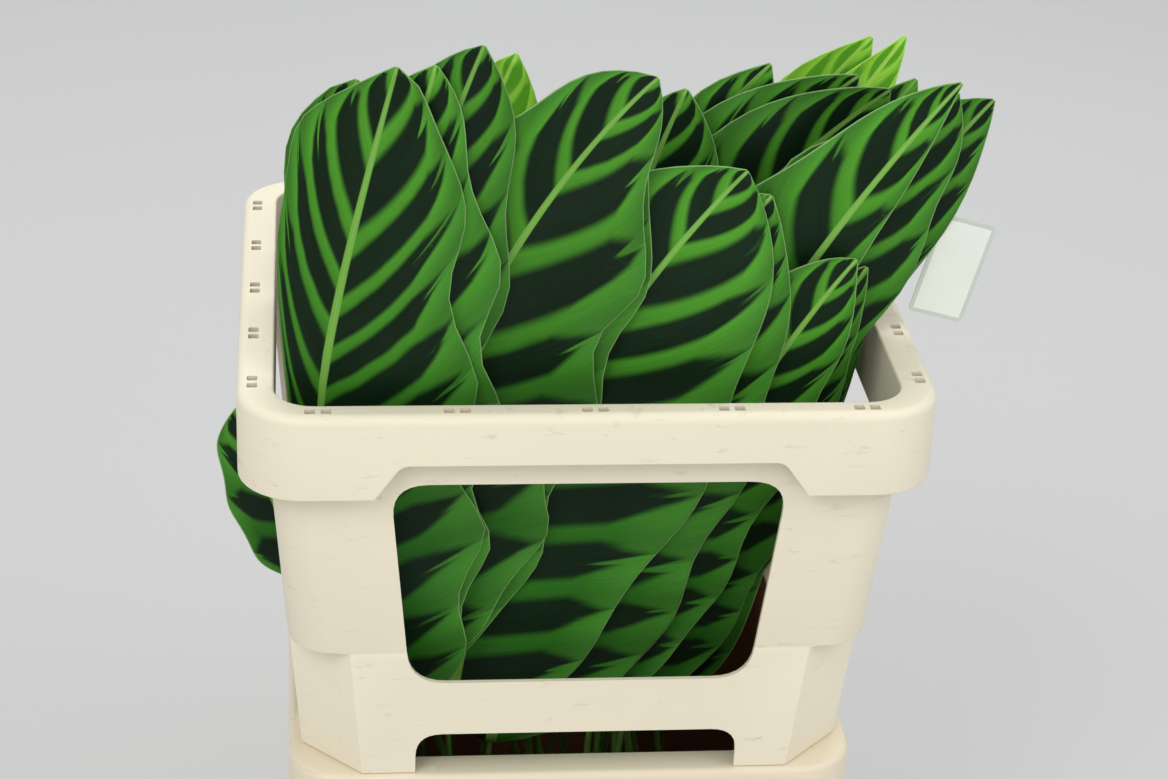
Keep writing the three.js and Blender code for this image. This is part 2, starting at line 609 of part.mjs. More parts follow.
// The card: a thin plastic slip that bends with the leaf in front of it
function cardGeometry() {
  const points = [];
  const index = [];
  const add = (list) => list.map((p) => points.push(...p) / 3 - 1);
  const tilt = degToRad(CARD_TILT);
  const rings = [];
  for (let i = 0; i <= CARD_GRID; i++) {
    const front = [];
    const rear = [];
    for (let j = 0; j <= CARD_GRID; j++) {
      const across = CARD_SIZE[0] * (j / CARD_GRID - 0.5);
      const up = CARD_SIZE[1] * (i / CARD_GRID - 0.5);
      const x = CARD_PLACE[0] + across * Math.cos(tilt) + up * Math.sin(tilt);
      const z = COLLAR_TOP + CARD_PLACE[1] - across * Math.sin(tilt) + up * Math.cos(tilt);
      const y = layerDepth(CARD_LAYER, x, z);
      front.push([x, y - CARD_THICK / 2, z]);
      rear.push([x, y + CARD_THICK / 2, z]);
    }
    rings.push({ front: add(front), rear: add(rear) });
  }
  sheet(rings, index);
  const start = rings[0];
  for (let j = 0; j < CARD_GRID; j++) {
    index.push(start.front[j], start.rear[j + 1], start.front[j + 1]);
    index.push(start.front[j], start.rear[j], start.rear[j + 1]);
  }
  return meshOf(points, index);
}

// Water, with a plain hole for each stalk
function stalkHole(leaf) {
  const wide = STALK + 2 * STALK_CLEARANCE;
  const low = stalkRing(leaf.foot, BUCKET_FLOOR - 1, 0, leaf.layer, wide);
  const high = stalkRing(leaf.foot, STALK_STRAIGHT, 0, leaf.layer, wide);
  const hole = new THREE.BoxGeometry(1, 1, 1);
  const place = hole.attributes.position;
  for (let i = 0; i < place.count; i++) {
    const right = place.getX(i) > 0;
    const corner = place.getY(i) < 0 ? Number(right) : 3 - Number(right);
    place.setXYZ(i, ...(place.getZ(i) > 0 ? high : low)[corner]);
  }
  return solid(hole);
}

function buildWater() {
  const top = BUCKET_FLOOR + GAP + WATER_DEPTH;
  const full = inward(BUCKET_MOUTH, WALL + GAP + bucketTaper * (BUCKET_HEIGHT - top));
  const fill = block(full, BUCKET_CORNER - WALL, BUCKET_FLOOR + GAP, top, bucketTaper);
  return LEAVES.reduce((water, leaf) => water.subtract(stalkHole(leaf)), fill);
}

addMesh('bucket', geometryOf(buildBucket()), bucketPlastic);
for (const [name, bar] of Object.entries(collarBars(buildCollar()))) {
  addMesh(name, geometryOf(bar), creamPlastic);
}
addMesh('water', geometryOf(buildWater()), clearWater);
addMesh('label_card', cardGeometry(), cardPlastic);
LEAVES.forEach((leaf, i) => {
  addMesh(`leaf_${String(i + 1).padStart(2, '0')}`, leafGeometry(leaf), leaf.young ? leafLime : leafGreen);
});

export default part;
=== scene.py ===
import math
import random
from dataclasses import dataclass
from functools import partial

import bpy
from mathutils import Matrix


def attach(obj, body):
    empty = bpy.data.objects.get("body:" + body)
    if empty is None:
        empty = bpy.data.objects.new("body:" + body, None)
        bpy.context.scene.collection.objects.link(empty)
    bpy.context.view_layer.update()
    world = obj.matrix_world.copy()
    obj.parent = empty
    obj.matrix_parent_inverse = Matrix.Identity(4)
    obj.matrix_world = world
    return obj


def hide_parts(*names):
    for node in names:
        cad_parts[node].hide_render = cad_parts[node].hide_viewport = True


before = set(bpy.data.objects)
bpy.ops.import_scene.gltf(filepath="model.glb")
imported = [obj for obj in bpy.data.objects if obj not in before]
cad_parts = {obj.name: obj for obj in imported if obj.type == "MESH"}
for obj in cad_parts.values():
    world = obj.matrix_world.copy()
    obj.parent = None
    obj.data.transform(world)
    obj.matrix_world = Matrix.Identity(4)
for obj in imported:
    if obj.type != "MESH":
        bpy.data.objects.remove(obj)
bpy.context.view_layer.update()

bl_info = {
    "name": "Cut Zebra Plant Leaves",
    "version": (1, 0, 0),
    "blender": (4, 5, 0),
    "location": "View3D > Sidebar > Cut Leaves",
    "description": "Builds a flower bucket with a windowed collar, filled with striped zebra plant leaves",
    "category": "Add Mesh",
}

MM = 0.001

# The plastic of the bucket and of its collar
BUCKET_HEIGHT = 278.7
BUCKET_FOOT = (150, 125)
BUCKET_MOUTH = (154, 129)
BUCKET_RIM = (173, 148)
BUCKET_SKIRT = 34
BUCKET_FLOOR = 4
BUCKET_CORNER = 34
GAP = 0.3
WALL = 3
COLLAR_FOOT = BUCKET_HEIGHT + GAP
COLLAR_HEIGHT = 256
COLLAR_TOP = COLLAR_FOOT + COLLAR_HEIGHT
COLLAR_RIM = (200, 175)
COLLAR_RIM_CORNER = 38
COLLAR_INSET = (18, 13.1)
COLLAR_TAPER = 0.084
COLLAR_CORNER = 26
SKIRT_DROP = 52.5
NOTCH_RISE = 22
NOTCH_SLANT = 16
STEP_DROP = 166.5
STEP_CHAMFER = 36
CHAMFER_INSET = 2 - math.sqrt(2)
WINDOW_TOP = 49.4
WINDOW_BOTTOM = 189
WINDOW_CORNER = 22
SLOT_HEIGHT = 29
SLOT_CORNER = 16
LONG_WALL = {"top": 114, "foot": 101, "slot": 97, "notch": 108}
END_WALL = {"top": 92, "foot": 80, "slot": 76, "notch": 86}
DRAIN_SLOT = (3, 3)
DRAIN_APART = 9
DRAIN_INSET = 8.8
DRAIN_PITCH = (77.2, 64.2)
CORNER_STEPS = 9

# The nested layers that the leaves lie in
HALF_DEPTH = 142
COLLAR_DEPTH_TAPER = 0.104
BUCKET_DEPTH_TAPER = 0.02
FRONT_RISE = -0.05
REAR_RISE = 0.2
LEFT_WRAP = 0.2
SIDE_REACH = 190
WRAP_LIMIT = 1.3
RIDGE_HEIGHT = 7
RIDGE_SPACING = 250
RIDGE_START = 125
RIDGE_LEAN = 0.2
RIDGE_DRIFT = 60
RIDGE_FADE = (290, 430)
RIDGE_LOSS = 0.3
TOP_ROOM = 174
LEFT_SPREAD = 0.07
RIGHT_SPREAD = 0.9
COLLAR_ROOM_TAPER = 0.15
BUCKET_ROOM = 135
FREE_SHARE = 0.85
LEAST_BASE = 3.2
LEAST_TIP = 1.2
BASE_FULLNESS = 0.6
END_CROWDING = 0.5
BASE_WAVE = 0.4
STALK_PULL = 50
STALK_STRAIGHT = 105
STALK_STEPS = 14
STALK_RADIUS = 2.1
STALK_SIDES = 10
MIDRIB_RADIUS = (1.7, 0.4)
BLADE_THICK = 0.8
TROUGH_DEPTH = 1.3
TROUGH_WIDTH = 13
QUILT_DEPTH = 0.35
QUILT_START = 12
RUFFLE_DEPTH = 1.7
RUFFLE_LAG = 0.9
RELIEF_FADE = 25

# The blank card: its rounded corner, its middle beside and above the collar's top, and its tilt in degrees
CARD_SIZE = (35, 62)
CARD_CORNER = 3
CARD_PLACE = (222, 38)
CARD_TILT = 16
CARD_LAYER = 0.2575
CARD_THICK = 0.6

# The camera: yaw, pitch and roll in degrees, its place in metres, its focal length in pixels of the photo
CAMERA_TURN = (6.40, 26.38, 2.45)
CAMERA_SPOT = (-0.161, -1.540, 1.233)
SENSOR_WIDTH = 36
FOCAL_PIXELS = 2772
PICTURE_WIDTH = 1168


@dataclass
class Leaf:
    """One blade with its stalk: where its tip stands, how it leans and where its light stripes start"""
    layer: float
    tip: tuple
    lean: tuple
    length: float
    width: float
    foot: float
    halves: tuple = (1, 1)
    blunt: tuple = (3, 3)
    round: tuple = (0.8, 0.8)
    belly: float = 0.42
    wave: tuple = (2.6, 0.08, 0, 2)
    slant: float = 1
    outside: bool = False
    # The backlit blade is painted lime, a painted glow of light shining through it
    backlit: bool = False
    stripes: tuple = ()


LEAVES = [
    Leaf(0.010, (-111, 188), (14, 6, -18), 465, 184, -100, (0.92, 1.05), (2.6, 1.2), (0.8, 0.5), 0.36,
         (4.1, 0.13, 3, 4.55), slant=1.35, stripes=(
             (60, 95, 130, 165, 200, 232, 267, 304, 332, 362, 408),
             (52, 87, 129, 163, 198, 230, 262, 287, 316, 353, 415))),
    Leaf(0.032, (-90, 188), (14, 8, -16), 445, 168, -80, (0.9, 1.02), (2.6, 2.1), belly=0.36,
         wave=(4.4, 0.14, 0, 5.6)),
    Leaf(0.054, (-64, 197), (20, 14, -10), 430, 144, -66, (1, 0.92), (3, 3), wave=(4, 0.1, 1, 3.2)),
    Leaf(0.076, (34, 173), (45, 20, -8), 430, 168, -84, blunt=(2.8, 2.6), wave=(4, 0.14, 2, 1.3),
         stripes=((20, 65, 110, 155, 200, 255, 310, 350, 395),
                  (10, 48, 100, 148, 195, 233, 293, 351, 387))),
    Leaf(0.098, (26, 156), (40, 20, -2), 415, 166, -66, wave=(3.6, 0.1, 0, 2.4)),
    Leaf(0.120, (88, 117), (40, 24, 4), 415, 186, -50, (0.9, 1), (2.8, 3.6), wave=(2, 0.12, 3, 1.57),
         stripes=((30, 75, 120, 165, 210, 258, 308, 355, 392),
                  (15, 55, 95, 135, 178, 220, 261, 296, 349, 385))),
    Leaf(0.142, (103, 101), (34, 22, 8), 410, 172, -34, blunt=(3, 2.6), wave=(3.3, 0.07, 1, 2)),
    Leaf(0.164, (156, 60), (38, 24, 10), 340, 116, 16, (1.1, 0.86), (3.4, 2.5), wave=(3.4, 0.1, 4, 1.4)),
    Leaf(0.186, (164, 52), (30, 22, 12), 335, 116, 34, (1, 0.8), (3, 2), wave=(3.4, 0.1, 2, 4)),
    Leaf(0.208, (214, 158), (42, 27, 8), 430, 150, 24, (1, 0.42), (1.9, 2.2), wave=(3.2, 0.06, 1, 3),
         stripes=((20, 68, 118, 170, 222, 275, 325, 378, 405),
                  (30, 80, 130, 180, 232, 283, 333, 385))),
    Leaf(0.230, (214, 150), (36, 26, 12), 420, 134, 48, (1, 0.86), (3, 3.2), wave=(4, 0.16, 0, 2.4)),
    Leaf(0.252, (238, 142), (42, 28, 12), 425, 134, 62, (1, 1), (3, 2), wave=(4, 0.08, 2, 0)),
    Leaf(0.360, (-203, -66), (-20, -20, -16), 126, 56, -118, outside=True),
    Leaf(0.282, (-10, 140), (24, 12, -2), 395, 126, -44),
    Leaf(0.314, (60, 142), (22, 12, 2), 395, 128, -10, blunt=(2.8, 3.6), wave=(3.8, 0.08, 1, 4)),
    Leaf(0.346, (181, 140), (56, 32, 6), 415, 144, 12, (0.72, 1), (3.4, 3.2)),
    Leaf(0.392, (164, 144), (54, 30, 4), 415, 140, 0, (0.72, 1), (3.2, 3.6)),
    Leaf(0.424, (113, 148), (44, 24, 2), 405, 132, -6, (0.5, 1), wave=(4.2, 0.12, 2, 1)),
    Leaf(0.456, (205, 133), (40, 17, -2), 465, 140, 84, (0.7, 1)),
    Leaf(0.488, (-130, 131), (14, 4, -16), 400, 130, -96, (0.85, 1), (3.4, 3.4), (0.6, 0.6),
         wave=(4.4, 0.1, 3, 1)),
    Leaf(0.520, (-34, 140), (24, 8, -4), 400, 122, -52, wave=(4, 0.12, 0, 3), backlit=True),
    Leaf(0.552, (203, 149), (38, 24, 8), 410, 104, 66, (0.8, 1), (1.8, 2.2),
         wave=(4.4, 0.12, 2, 4), backlit=True),
    Leaf(0.584, (184, 146), (46, 24, 6), 410, 120, 44, (0.6, 1), wave=(4, 0.14, 4, 0), backlit=True),
    Leaf(0.616, (-104, 104), (4, -2, -8), 385, 132, -84),
    Leaf(0.650, (48, 92), (16, 4, -2), 380, 134, 8),
    Leaf(0.684, (150, 96), (26, 14, 6), 385, 134, 70),
    Leaf(0.718, (-56, 88), (-4, -4, 0), 380, 134, -46),
    Leaf(0.752, (92, 80), (12, 6, 2), 375, 138, 40),
    Leaf(0.786, (-138, 84), (-8, -6, -8), 375, 126, -98),
    Leaf(0.820, (8, 74), (-6, -2, 2), 375, 138, 4),
    Leaf(0.856, (158, 80), (14, 12, 8), 375, 130, 88),
    Leaf(0.892, (-92, 74), (-10, -6, 2), 375, 140, -62),
    Leaf(0.928, (72, 68), (10, 4, 2), 370, 140, 46),
    Leaf(0.966, (-26, 58), (-6, 0, 4), 365, 142, -16),
]
# Dark bands in two tones, light stripes low on the blade (darker there as painted shade) and high on the
# blade, light stripes at the margin, midrib, margin line
ZEBRA_BLADE = ("#081A0B", "#0F2812", "#2B6B1A", "#4C9428", "#407F2A", "#72A846", "#A9C88A")
ZEBRA_UNDERSIDE = ("#4A2E3A", "#57394A", "#5F5A48", "#66684A", "#5F6A48", "#8C9A68", "#8FA070")
# Lime colours of the backlit leaves, a painted glow of light shining through the blades
BACKLIT_GLOW_BLADE = ("#4F9A22", "#63AE2A", "#86CC3A", "#9ADB45", "#8FD43F", "#A6DC5A", "#B9E070")
BACKLIT_GLOW_UNDERSIDE = ("#6E9E48", "#7BA850", "#8DB85E", "#97C066", "#8DB85E", "#A9CC80", "#B4D48C")
# Leaves up to this layer face the viewer and are made with more rows and columns
FRONT_LAYER = 0.4
FRONT_GRID = (104, 36)
REAR_GRID = (64, 24)


def lerp(a, b, share):
    return a + (b - a) * share


def smoothstep(value, low, high):
    share = min(1, max(0, (value - low) / (high - low)))
    return share * share * (3 - 2 * share)


def linear(colour):
    """An sRGB hex colour as linear red, green and blue"""
    channels = [int(colour[i:i + 2], 16) / 255 for i in (1, 3, 5)]
    return [c / 12.92 if c <= 0.04045 else ((c + 0.055) / 1.055) ** 2.4 for c in channels]


# Leaf shape

def layer_depth(layer, x, z):
    above = z - COLLAR_TOP
    in_collar = min(max(-above, 0), COLLAR_HEIGHT)
    in_bucket = max(-above - COLLAR_HEIGHT, 0)
    half = HALF_DEPTH - COLLAR_DEPTH_TAPER * in_collar - BUCKET_DEPTH_TAPER * in_bucket
    front = -(half + FRONT_RISE * max(above, 0))
    rear = half + REAR_RISE * max(above, 0)
    wrap = 1 - LEFT_WRAP * min(WRAP_LIMIT, -x / SIDE_REACH) ** 3 if x < 0 else 1
    across = x + RIDGE_START - RIDGE_LEAN * above + RIDGE_DRIFT * layer
    height = RIDGE_HEIGHT * (1 - RIDGE_LOSS * layer) * smoothstep(z, *RIDGE_FADE)
    ridge = height * math.cos(across * math.tau / RIDGE_SPACING)
    return lerp(front, rear, 0.5 + (layer - 0.5) * wrap) - ridge


def squeeze(x, z):
    """x, bent to stay inside the end walls"""
    drop = COLLAR_TOP - z
    if drop < 0:
        room = TOP_ROOM - drop * (LEFT_SPREAD if x < 0 else RIGHT_SPREAD)
    else:
        room = TOP_ROOM - COLLAR_ROOM_TAPER * drop if drop < COLLAR_HEIGHT else BUCKET_ROOM
    free = room * FREE_SHARE
    if abs(x) <= free:
        return x
    return math.copysign(room - (room - free) * math.exp(-(abs(x) - free) / (room - free)), x)


def lean_at(leaf, along):
    tip, middle, base = leaf.lean
    rise = 4 * middle - tip - 3 * base
    bow = 2 * (tip + base - 2 * middle)
    return math.radians(base + along * rise + along * along * bow)


def row_place(share):
    """Rows stand closer together towards the base and the tip, which curve more"""
    return share - END_CROWDING * math.sin(math.tau * share) / math.tau


def midrib(leaf, rows):
    """Places, leans and shares of the length along the midrib, from base to tip"""
    points = []
    x, z = leaf.tip[0], COLLAR_TOP + leaf.tip[1]
    for i in range(rows, -1, -1):
        along, below = row_place(i / rows), row_place((i - 1) / rows)
        points.append((x, z, lean_at(leaf, along), along))
        lean = lean_at(leaf, (along + below) / 2)
        x -= leaf.length * (along - below) * math.sin(lean)
        z -= leaf.length * (along - below) * math.cos(lean)
    return points[::-1]


def half_width(leaf, along, side):
    waves, depth, *phases = leaf.wave
    wave = 1 + depth * lerp(BASE_WAVE, 1, along) * math.sin(math.tau * waves * along + phases[side])
    if along < leaf.belly:
        full = max(0, 1 - (1 - along / leaf.belly) ** 3) ** BASE_FULLNESS
    else:
        full = max(0, 1 - ((along - leaf.belly) / (1 - leaf.belly)) ** leaf.blunt[side]) ** leaf.round[side]
    least = LEAST_BASE if along < 0.5 else LEAST_TIP
    return max(least, 0.5 * leaf.width * leaf.halves[side] * full * wave)


def vein_start(leaf, along, out, share):
    """How far up the midrib the side vein through a point leaves it. Veins set off at a slant, steeper
    towards the tip, and turn up along the margin."""
    height = along * leaf.length
    start = height
    for _ in range(10):
        level = min(1.1, max(0, start / leaf.length))
        slant = (0.25 + 1.6 * level ** 2) * leaf.slant
        turn = 0.1 + 4 * level ** 4
        start = 0.5 * (start + height - out * (slant + turn * share * share))
    return start


def stripe_phase(stripes, start):
    """Whole numbers at the light stripes, fractions between them"""
    for i in range(len(stripes) - 1):
        if start < stripes[i + 1] or i == len(stripes) - 2:
            return i + (start - stripes[i]) / (stripes[i + 1] - stripes[i])


def plain_stripes(leaf, dice):
    """Evenly spread stripes, as on most of the leaves, for the left and the right half"""
    sides = []
    for _ in (0, 1):
        spacing = dice.uniform(36, 44) * max(0.8, leaf.length / 420)
        first = dice.uniform(0, spacing)
        count = int(leaf.length / spacing) + 2
        sides.append([first + spacing * i + dice.uniform(-4, 4) for i in range(count)])
    return sides


def relief(leaf, along, share, out, phase):
    """How far a point of the blade stands back from its layer: a trough along the midrib, quilting between
    the side veins, and a ruffle at the margin"""
    waves, _, *phases = leaf.wave
    side = 0 if share < 0 else 1
    size = abs(share)
    trough = TROUGH_DEPTH * math.exp(-(out / TROUGH_WIDTH) ** 2)
    quilt = QUILT_DEPTH * math.cos(math.tau * phase) * min(1, out / QUILT_START) * (1 - size ** 4)
    ruffle = RUFFLE_DEPTH * size ** 3 * math.sin(math.tau * waves * along + phases[side] + RUFFLE_LAG)
    fade = min(1, half_width(leaf, along, side) / RELIEF_FADE)
    return (trough + quilt + ruffle) * fade


# Meshes from primitives

def deselect():
    bpy.ops.object.select_all(action="DESELECT")


def grid_mesh(name, columns, rows, place):
    """A grid primitive whose points are moved: place takes a column and a row share and gives millimetres"""
    deselect()
    bpy.ops.mesh.primitive_grid_add(x_subdivisions=columns, y_subdivisions=rows, size=1)
    made = bpy.context.object
    made.name = made.data.name = name
    for vertex in made.data.vertices:
        column = round((vertex.co.x + 0.5) * columns) / columns
        row = round((vertex.co.y + 0.5) * rows) / rows
        vertex.co = [c * MM for c in place(column, row)]
    return made


def close_shell(made, fill=True):
    """Merges the seams of a wrapped grid, fills its open ends and turns its faces outwards"""
    deselect()
    made.select_set(True)
    bpy.context.view_layer.objects.active = made
    bpy.ops.object.mode_set(mode="EDIT")
    bpy.ops.mesh.select_all(action="SELECT")
    bpy.ops.mesh.remove_doubles(threshold=0.01 * MM)
    if fill:
        bpy.ops.mesh.fill_holes(sides=0)
    bpy.ops.mesh.select_all(action="SELECT")
    bpy.ops.mesh.normals_make_consistent(inside=False)
    bpy.ops.object.mode_set(mode="OBJECT")
    return made


def loft(name, rings, closed=False):
    """A skin over rings of points. A closed one joins its last ring to its first, others get end caps."""
    around = len(rings[0])
    if closed:
        rings = rings + rings[:1]
    last = len(rings) - 1

    def place(column, row):
        return rings[round(row * last)][round(column * around) % around]

    return close_shell(grid_mesh(name, around, last, place), not closed)


def apply_modifier(made, kind, **settings):
    deselect()
    made.select_set(True)
    bpy.context.view_layer.objects.active = made
    modifier = made.modifiers.new(kind.title(), kind)
    for key, value in settings.items():
        setattr(modifier, key, value)
    bpy.ops.object.modifier_apply(modifier=modifier.name)


def join(pieces):
    deselect()
    for made in pieces:
        made.select_set(True)
    bpy.context.view_layer.objects.active = pieces[0]
    bpy.ops.object.join()
    return pieces[0]


def place_piece(made, nodes):
    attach(made, "root")
    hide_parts(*nodes)


# Materials

def add_node(tree, name, kind, inputs=None, **settings):
    """Adds a node with its settings. An input given as a string is a link from the node of that name, or from
    one of its outputs, as name:output."""
    made = tree.nodes.new("ShaderNode" + kind)
    made.name = name
    for key, value in settings.items():
        setattr(made, key, value)
    for key, value in (inputs or {}).items():
        if isinstance(value, str):
            source, _, output = value.partition(":")
            outputs = tree.nodes[source].outputs
            tree.links.new(outputs[int(output) if output.isdigit() else output or 0], made.inputs[key])
        else:
            made.inputs[key].default_value = value
    return made


def paint(hex_colour):
    """An sRGB hex colour as an opaque socket value"""
    return (*linear(hex_colour), 1)


def new_material(name):
    material = bpy.data.materials.new(name)
    material.use_nodes = True
    material.node_tree.nodes.clear()
    return material, partial(add_node, material.node_tree)


def leaf_blade(name, colours, contrast=1.0, sheen=0.02):
    """Living leaf blade. Light stripes run along the side veins over a deep velvety green, with feathered
    edges, short wedges that reach in from the margin, a pale midrib and a thin pale margin line."""
    material, add = new_material(name)
    dark, deep, light, upper, margin, rib, line = [paint(c) for c in colours]
    add("map", "UVMap", uv_map="LeafMap")
    add("mapped", "SeparateXYZ", {0: "map"})
    add("spot", "UVMap", uv_map="LeafPlace")
    add("placed", "SeparateXYZ", {0: "spot"})
    add("own", "UVMap", uv_map="LeafTone")
    add("owned", "SeparateXYZ", {0: "own"})
    add("centred", "Math", {0: "mapped:X", 1: 2.0, 2: -1.0}, operation="MULTIPLY_ADD")
    add("share", "Math", {0: "centred"}, operation="ABSOLUTE")
    add("side", "Math", {0: "centred", 1: 0.0}, operation="GREATER_THAN")
    add("out", "Math", {0: "placed:Y"}, operation="ABSOLUTE")
    add("half seed", "Math", {0: "side", 1: 5.3, 2: "owned:X"}, operation="MULTIPLY_ADD")
    # Side veins are 1.3 mm apart: 34 of them to a stripe of about 45 mm
    add("fine", "Math", {0: "mapped:Y", 1: 34.0}, operation="MULTIPLY")
    add("slow", "Math", {0: "out", 1: 24.0}, operation="MULTIPLY")
    add("vein place", "CombineXYZ", {0: "fine", 1: "slow", 2: "half seed"})
    add("veins", "TexNoise", {"Vector": "vein place", "Scale": 1.0, "Detail": 2.0, "Roughness": 0.6})
    add("broad", "Math", {0: "mapped:Y", 1: 2.6}, operation="MULTIPLY")
    add("broad out", "Math", {0: "out", 1: 30.0}, operation="MULTIPLY")
    add("blotch place", "CombineXYZ", {0: "broad", 1: "broad out", 2: "half seed"})
    add("blotch", "TexNoise", {"Vector": "blotch place", "Scale": 1.0, "Detail": 2.0})
    add("feather", "Math", {0: "veins", 1: 0.5}, operation="SUBTRACT")
    add("patch", "Math", {0: "blotch", 1: 0.5}, operation="SUBTRACT")
    add("ragged", "Math", {0: "feather", 1: 0.05, 2: "share"}, operation="MULTIPLY_ADD")
    add("reach", "Math", {0: "patch", 1: 0.12, 2: "ragged"}, operation="MULTIPLY_ADD")
    # Light stripes, which widen until they meet at the margin
    add("stripe", "Math", {0: "mapped:Y"}, operation="ROUND")
    add("stripe key", "CombineXYZ", {0: "stripe", 1: "side", 2: "owned:X"})
    add("stripe dice", "TexWhiteNoise", {"Vector": "stripe key"})
    add("from stripe", "Math", {0: "mapped:Y", 1: "stripe"}, operation="SUBTRACT")
    add("off stripe", "Math", {0: "from stripe"}, operation="ABSOLUTE")
    add("off", "Math", {0: "feather", 1: 0.03, 2: "off stripe"}, operation="MULTIPLY_ADD")
    add("width", "MapRange", {"Value": "stripe dice", "To Min": 0.13, "To Max": 0.175})
    add("flare", "MapRange", {"Value": "out", "From Max": 0.012, "To Min": 0.03, "To Max": 0.0})
    add("meeting", "MapRange", {"Value": "reach", "From Min": 0.63, "From Max": 1.05, "To Max": 0.43})
    add("width 2", "Math", {0: "width", 1: "flare"})
    add("width 3", "Math", {0: "width 2", 1: "meeting"})
    add("inner", "Math", {0: "width 3", 1: 0.085}, operation="SUBTRACT")
    add("outer", "Math", {0: "width 3", 1: 0.085}, operation="ADD")
    add("stripes", "MapRange", {"Value": "off", "From Min": "inner", "From Max": "outer", "To Min": 1.0,
                                "To Max": 0.0}, interpolation_type="SMOOTHSTEP")
    # Wedges in the middle of the dark bands
    add("band", "Math", {0: "mapped:Y"}, operation="FLOOR")
    add("in band", "Math", {0: "mapped:Y", 1: "band"}, operation="SUBTRACT")
    add("band key", "CombineXYZ", {0: "band", 1: "half seed", 2: 3.7})
    add("band dice", "TexWhiteNoise", {"Vector": "band key"})
    add("dice", "SeparateXYZ", {0: "band dice:Color"})
    add("wedge line", "MapRange", {"Value": "dice:X", "To Min": 0.38, "To Max": 0.62})
    add("wedge start", "MapRange", {"Value": "dice:Y", "To Min": 0.55, "To Max": 0.88})
    add("wedge size", "MapRange", {"Value": "dice:Z", "To Min": 0.08, "To Max": 0.2})
    add("off wedge", "Math", {0: "in band", 1: "wedge line"}, operation="SUBTRACT")
    add("beside", "Math", {0: "off wedge"}, operation="ABSOLUTE")
    add("into", "Math", {0: "reach", 1: "wedge start"}, operation="SUBTRACT")
    add("wedge", "Math", {0: "into", 1: "wedge size"}, operation="MULTIPLY")
    add("wedge half", "Math", {0: "wedge", 1: 2.2}, operation="MULTIPLY")
    add("wedge in", "Math", {0: "wedge half", 1: 0.02}, operation="SUBTRACT")
    add("wedge out", "Math", {0: "wedge half", 1: 0.025}, operation="ADD")
    add("wedges", "MapRange", {"Value": "beside", "From Min": "wedge in", "From Max": "wedge out",
                               "To Min": 1.0, "To Max": 0.0}, interpolation_type="SMOOTHSTEP")
    add("wedge there", "MapRange", {"Value": "wedge half", "From Min": 0.0, "From Max": 0.02})
    add("wedges 2", "Math", {0: "wedges", 1: "wedge there"}, operation="MULTIPLY")
    add("pattern", "Math", {0: "stripes", 1: "wedges 2"}, operation="MAXIMUM")
    add("lit", "Math", {0: "pattern", 1: contrast}, operation="MULTIPLY")
    # Colours
    add("dark", "Mix", {0: "blotch", 6: dark, 7: deep}, data_type="RGBA")
    # Painted shade: the light stripes are darker low on the blade and lighter towards the tip
    add("rise", "MapRange", {"Value": "placed:X", "From Min": 0.35, "From Max": 0.9})
    add("light", "Mix", {0: "rise", 6: light, 7: upper}, data_type="RGBA")
    add("to margin", "MapRange", {"Value": "share", "From Min": 0.7, "From Max": 0.97})
    add("light 2", "Mix", {0: "to margin", 6: "light:2", 7: margin}, data_type="RGBA")
    # Painted shade across each light stripe: lighter along its upper edge and darker along its lower edge, as
    # if lit from above
    add("slope", "MapRange", {"Value": "from stripe", "From Min": -0.2, "From Max": 0.22, "To Min": 0.78,
                              "To Max": 1.12})
    add("light 3", "Mix", {0: 1.0, 6: "light 2:2", 7: "slope"}, data_type="RGBA", blend_type="MULTIPLY")
    add("blade", "Mix", {0: "lit", 6: "dark:2", 7: "light 3:2"}, data_type="RGBA")
    add("vein tint", "MapRange", {"Value": "veins", "From Min": 0.25, "From Max": 0.75, "To Min": 0.91,
                                  "To Max": 1.09})
    add("blade 2", "Mix", {0: 1.0, 6: "blade:2", 7: "vein tint"}, data_type="RGBA", blend_type="MULTIPLY")
    # Midrib, 6 mm wide at the base and 1 mm at the tip, and the margin line
    add("to tip", "Math", {0: 1.0, 1: "placed:X"}, operation="SUBTRACT")
    add("slim", "Math", {0: "to tip", 1: 0.6}, operation="POWER")
    add("rib half", "Math", {0: "slim", 1: 0.0027, 2: 0.0004}, operation="MULTIPLY_ADD")
    add("rib edge", "Math", {0: "rib half", 1: 0.0009})
    add("rib", "MapRange", {"Value": "out", "From Min": "rib half", "From Max": "rib edge", "To Min": 1.0,
                            "To Max": 0.0}, interpolation_type="SMOOTHSTEP")
    add("blade 3", "Mix", {0: "rib", 6: "blade 2:2", 7: rib}, data_type="RGBA")
    add("some", "Math", {0: "share", 1: 0.2}, operation="MAXIMUM")
    add("half", "Math", {0: "out", 1: "some"}, operation="DIVIDE")
    add("inward", "Math", {0: 1.0, 1: "share"}, operation="SUBTRACT")
    add("from edge", "Math", {0: "half", 1: "inward"}, operation="MULTIPLY")
    add("line", "MapRange", {"Value": "from edge", "From Min": 0.0002, "From Max": 0.0008, "To Min": 0.5,
                             "To Max": 0.0})
    add("blade 4", "Mix", {0: "line", 6: "blade 3:2", 7: line}, data_type="RGBA")
    add("tone", "MapRange", {"Value": "owned:Y", "To Min": 0.85, "To Max": 1.15})
    add("blade 5", "Mix", {0: 1.0, 6: "blade 4:2", 7: "tone"}, data_type="RGBA", blend_type="MULTIPLY")
    add("gloss", "MapRange", {"Value": "veins", "To Min": 0.36, "To Max": 0.5})
    add("rib height", "Math", {0: "rib", 1: 0.8, 2: "veins"}, operation="MULTIPLY_ADD")
    add("bump", "Bump", {"Strength": 0.35, "Distance": 0.0006, "Height": "rib height"})
    add("surface", "BsdfPrincipled", {
        "Base Color": "blade 5:2", "Roughness": "gloss", "Normal": "bump", "Specular IOR Level": 0.12,
        "Sheen Weight": sheen, "Sheen Roughness": 0.45, "Sheen Tint": (0.75, 0.9, 0.8, 1)})
    add("end", "OutputMaterial", {0: "surface"})
    return material


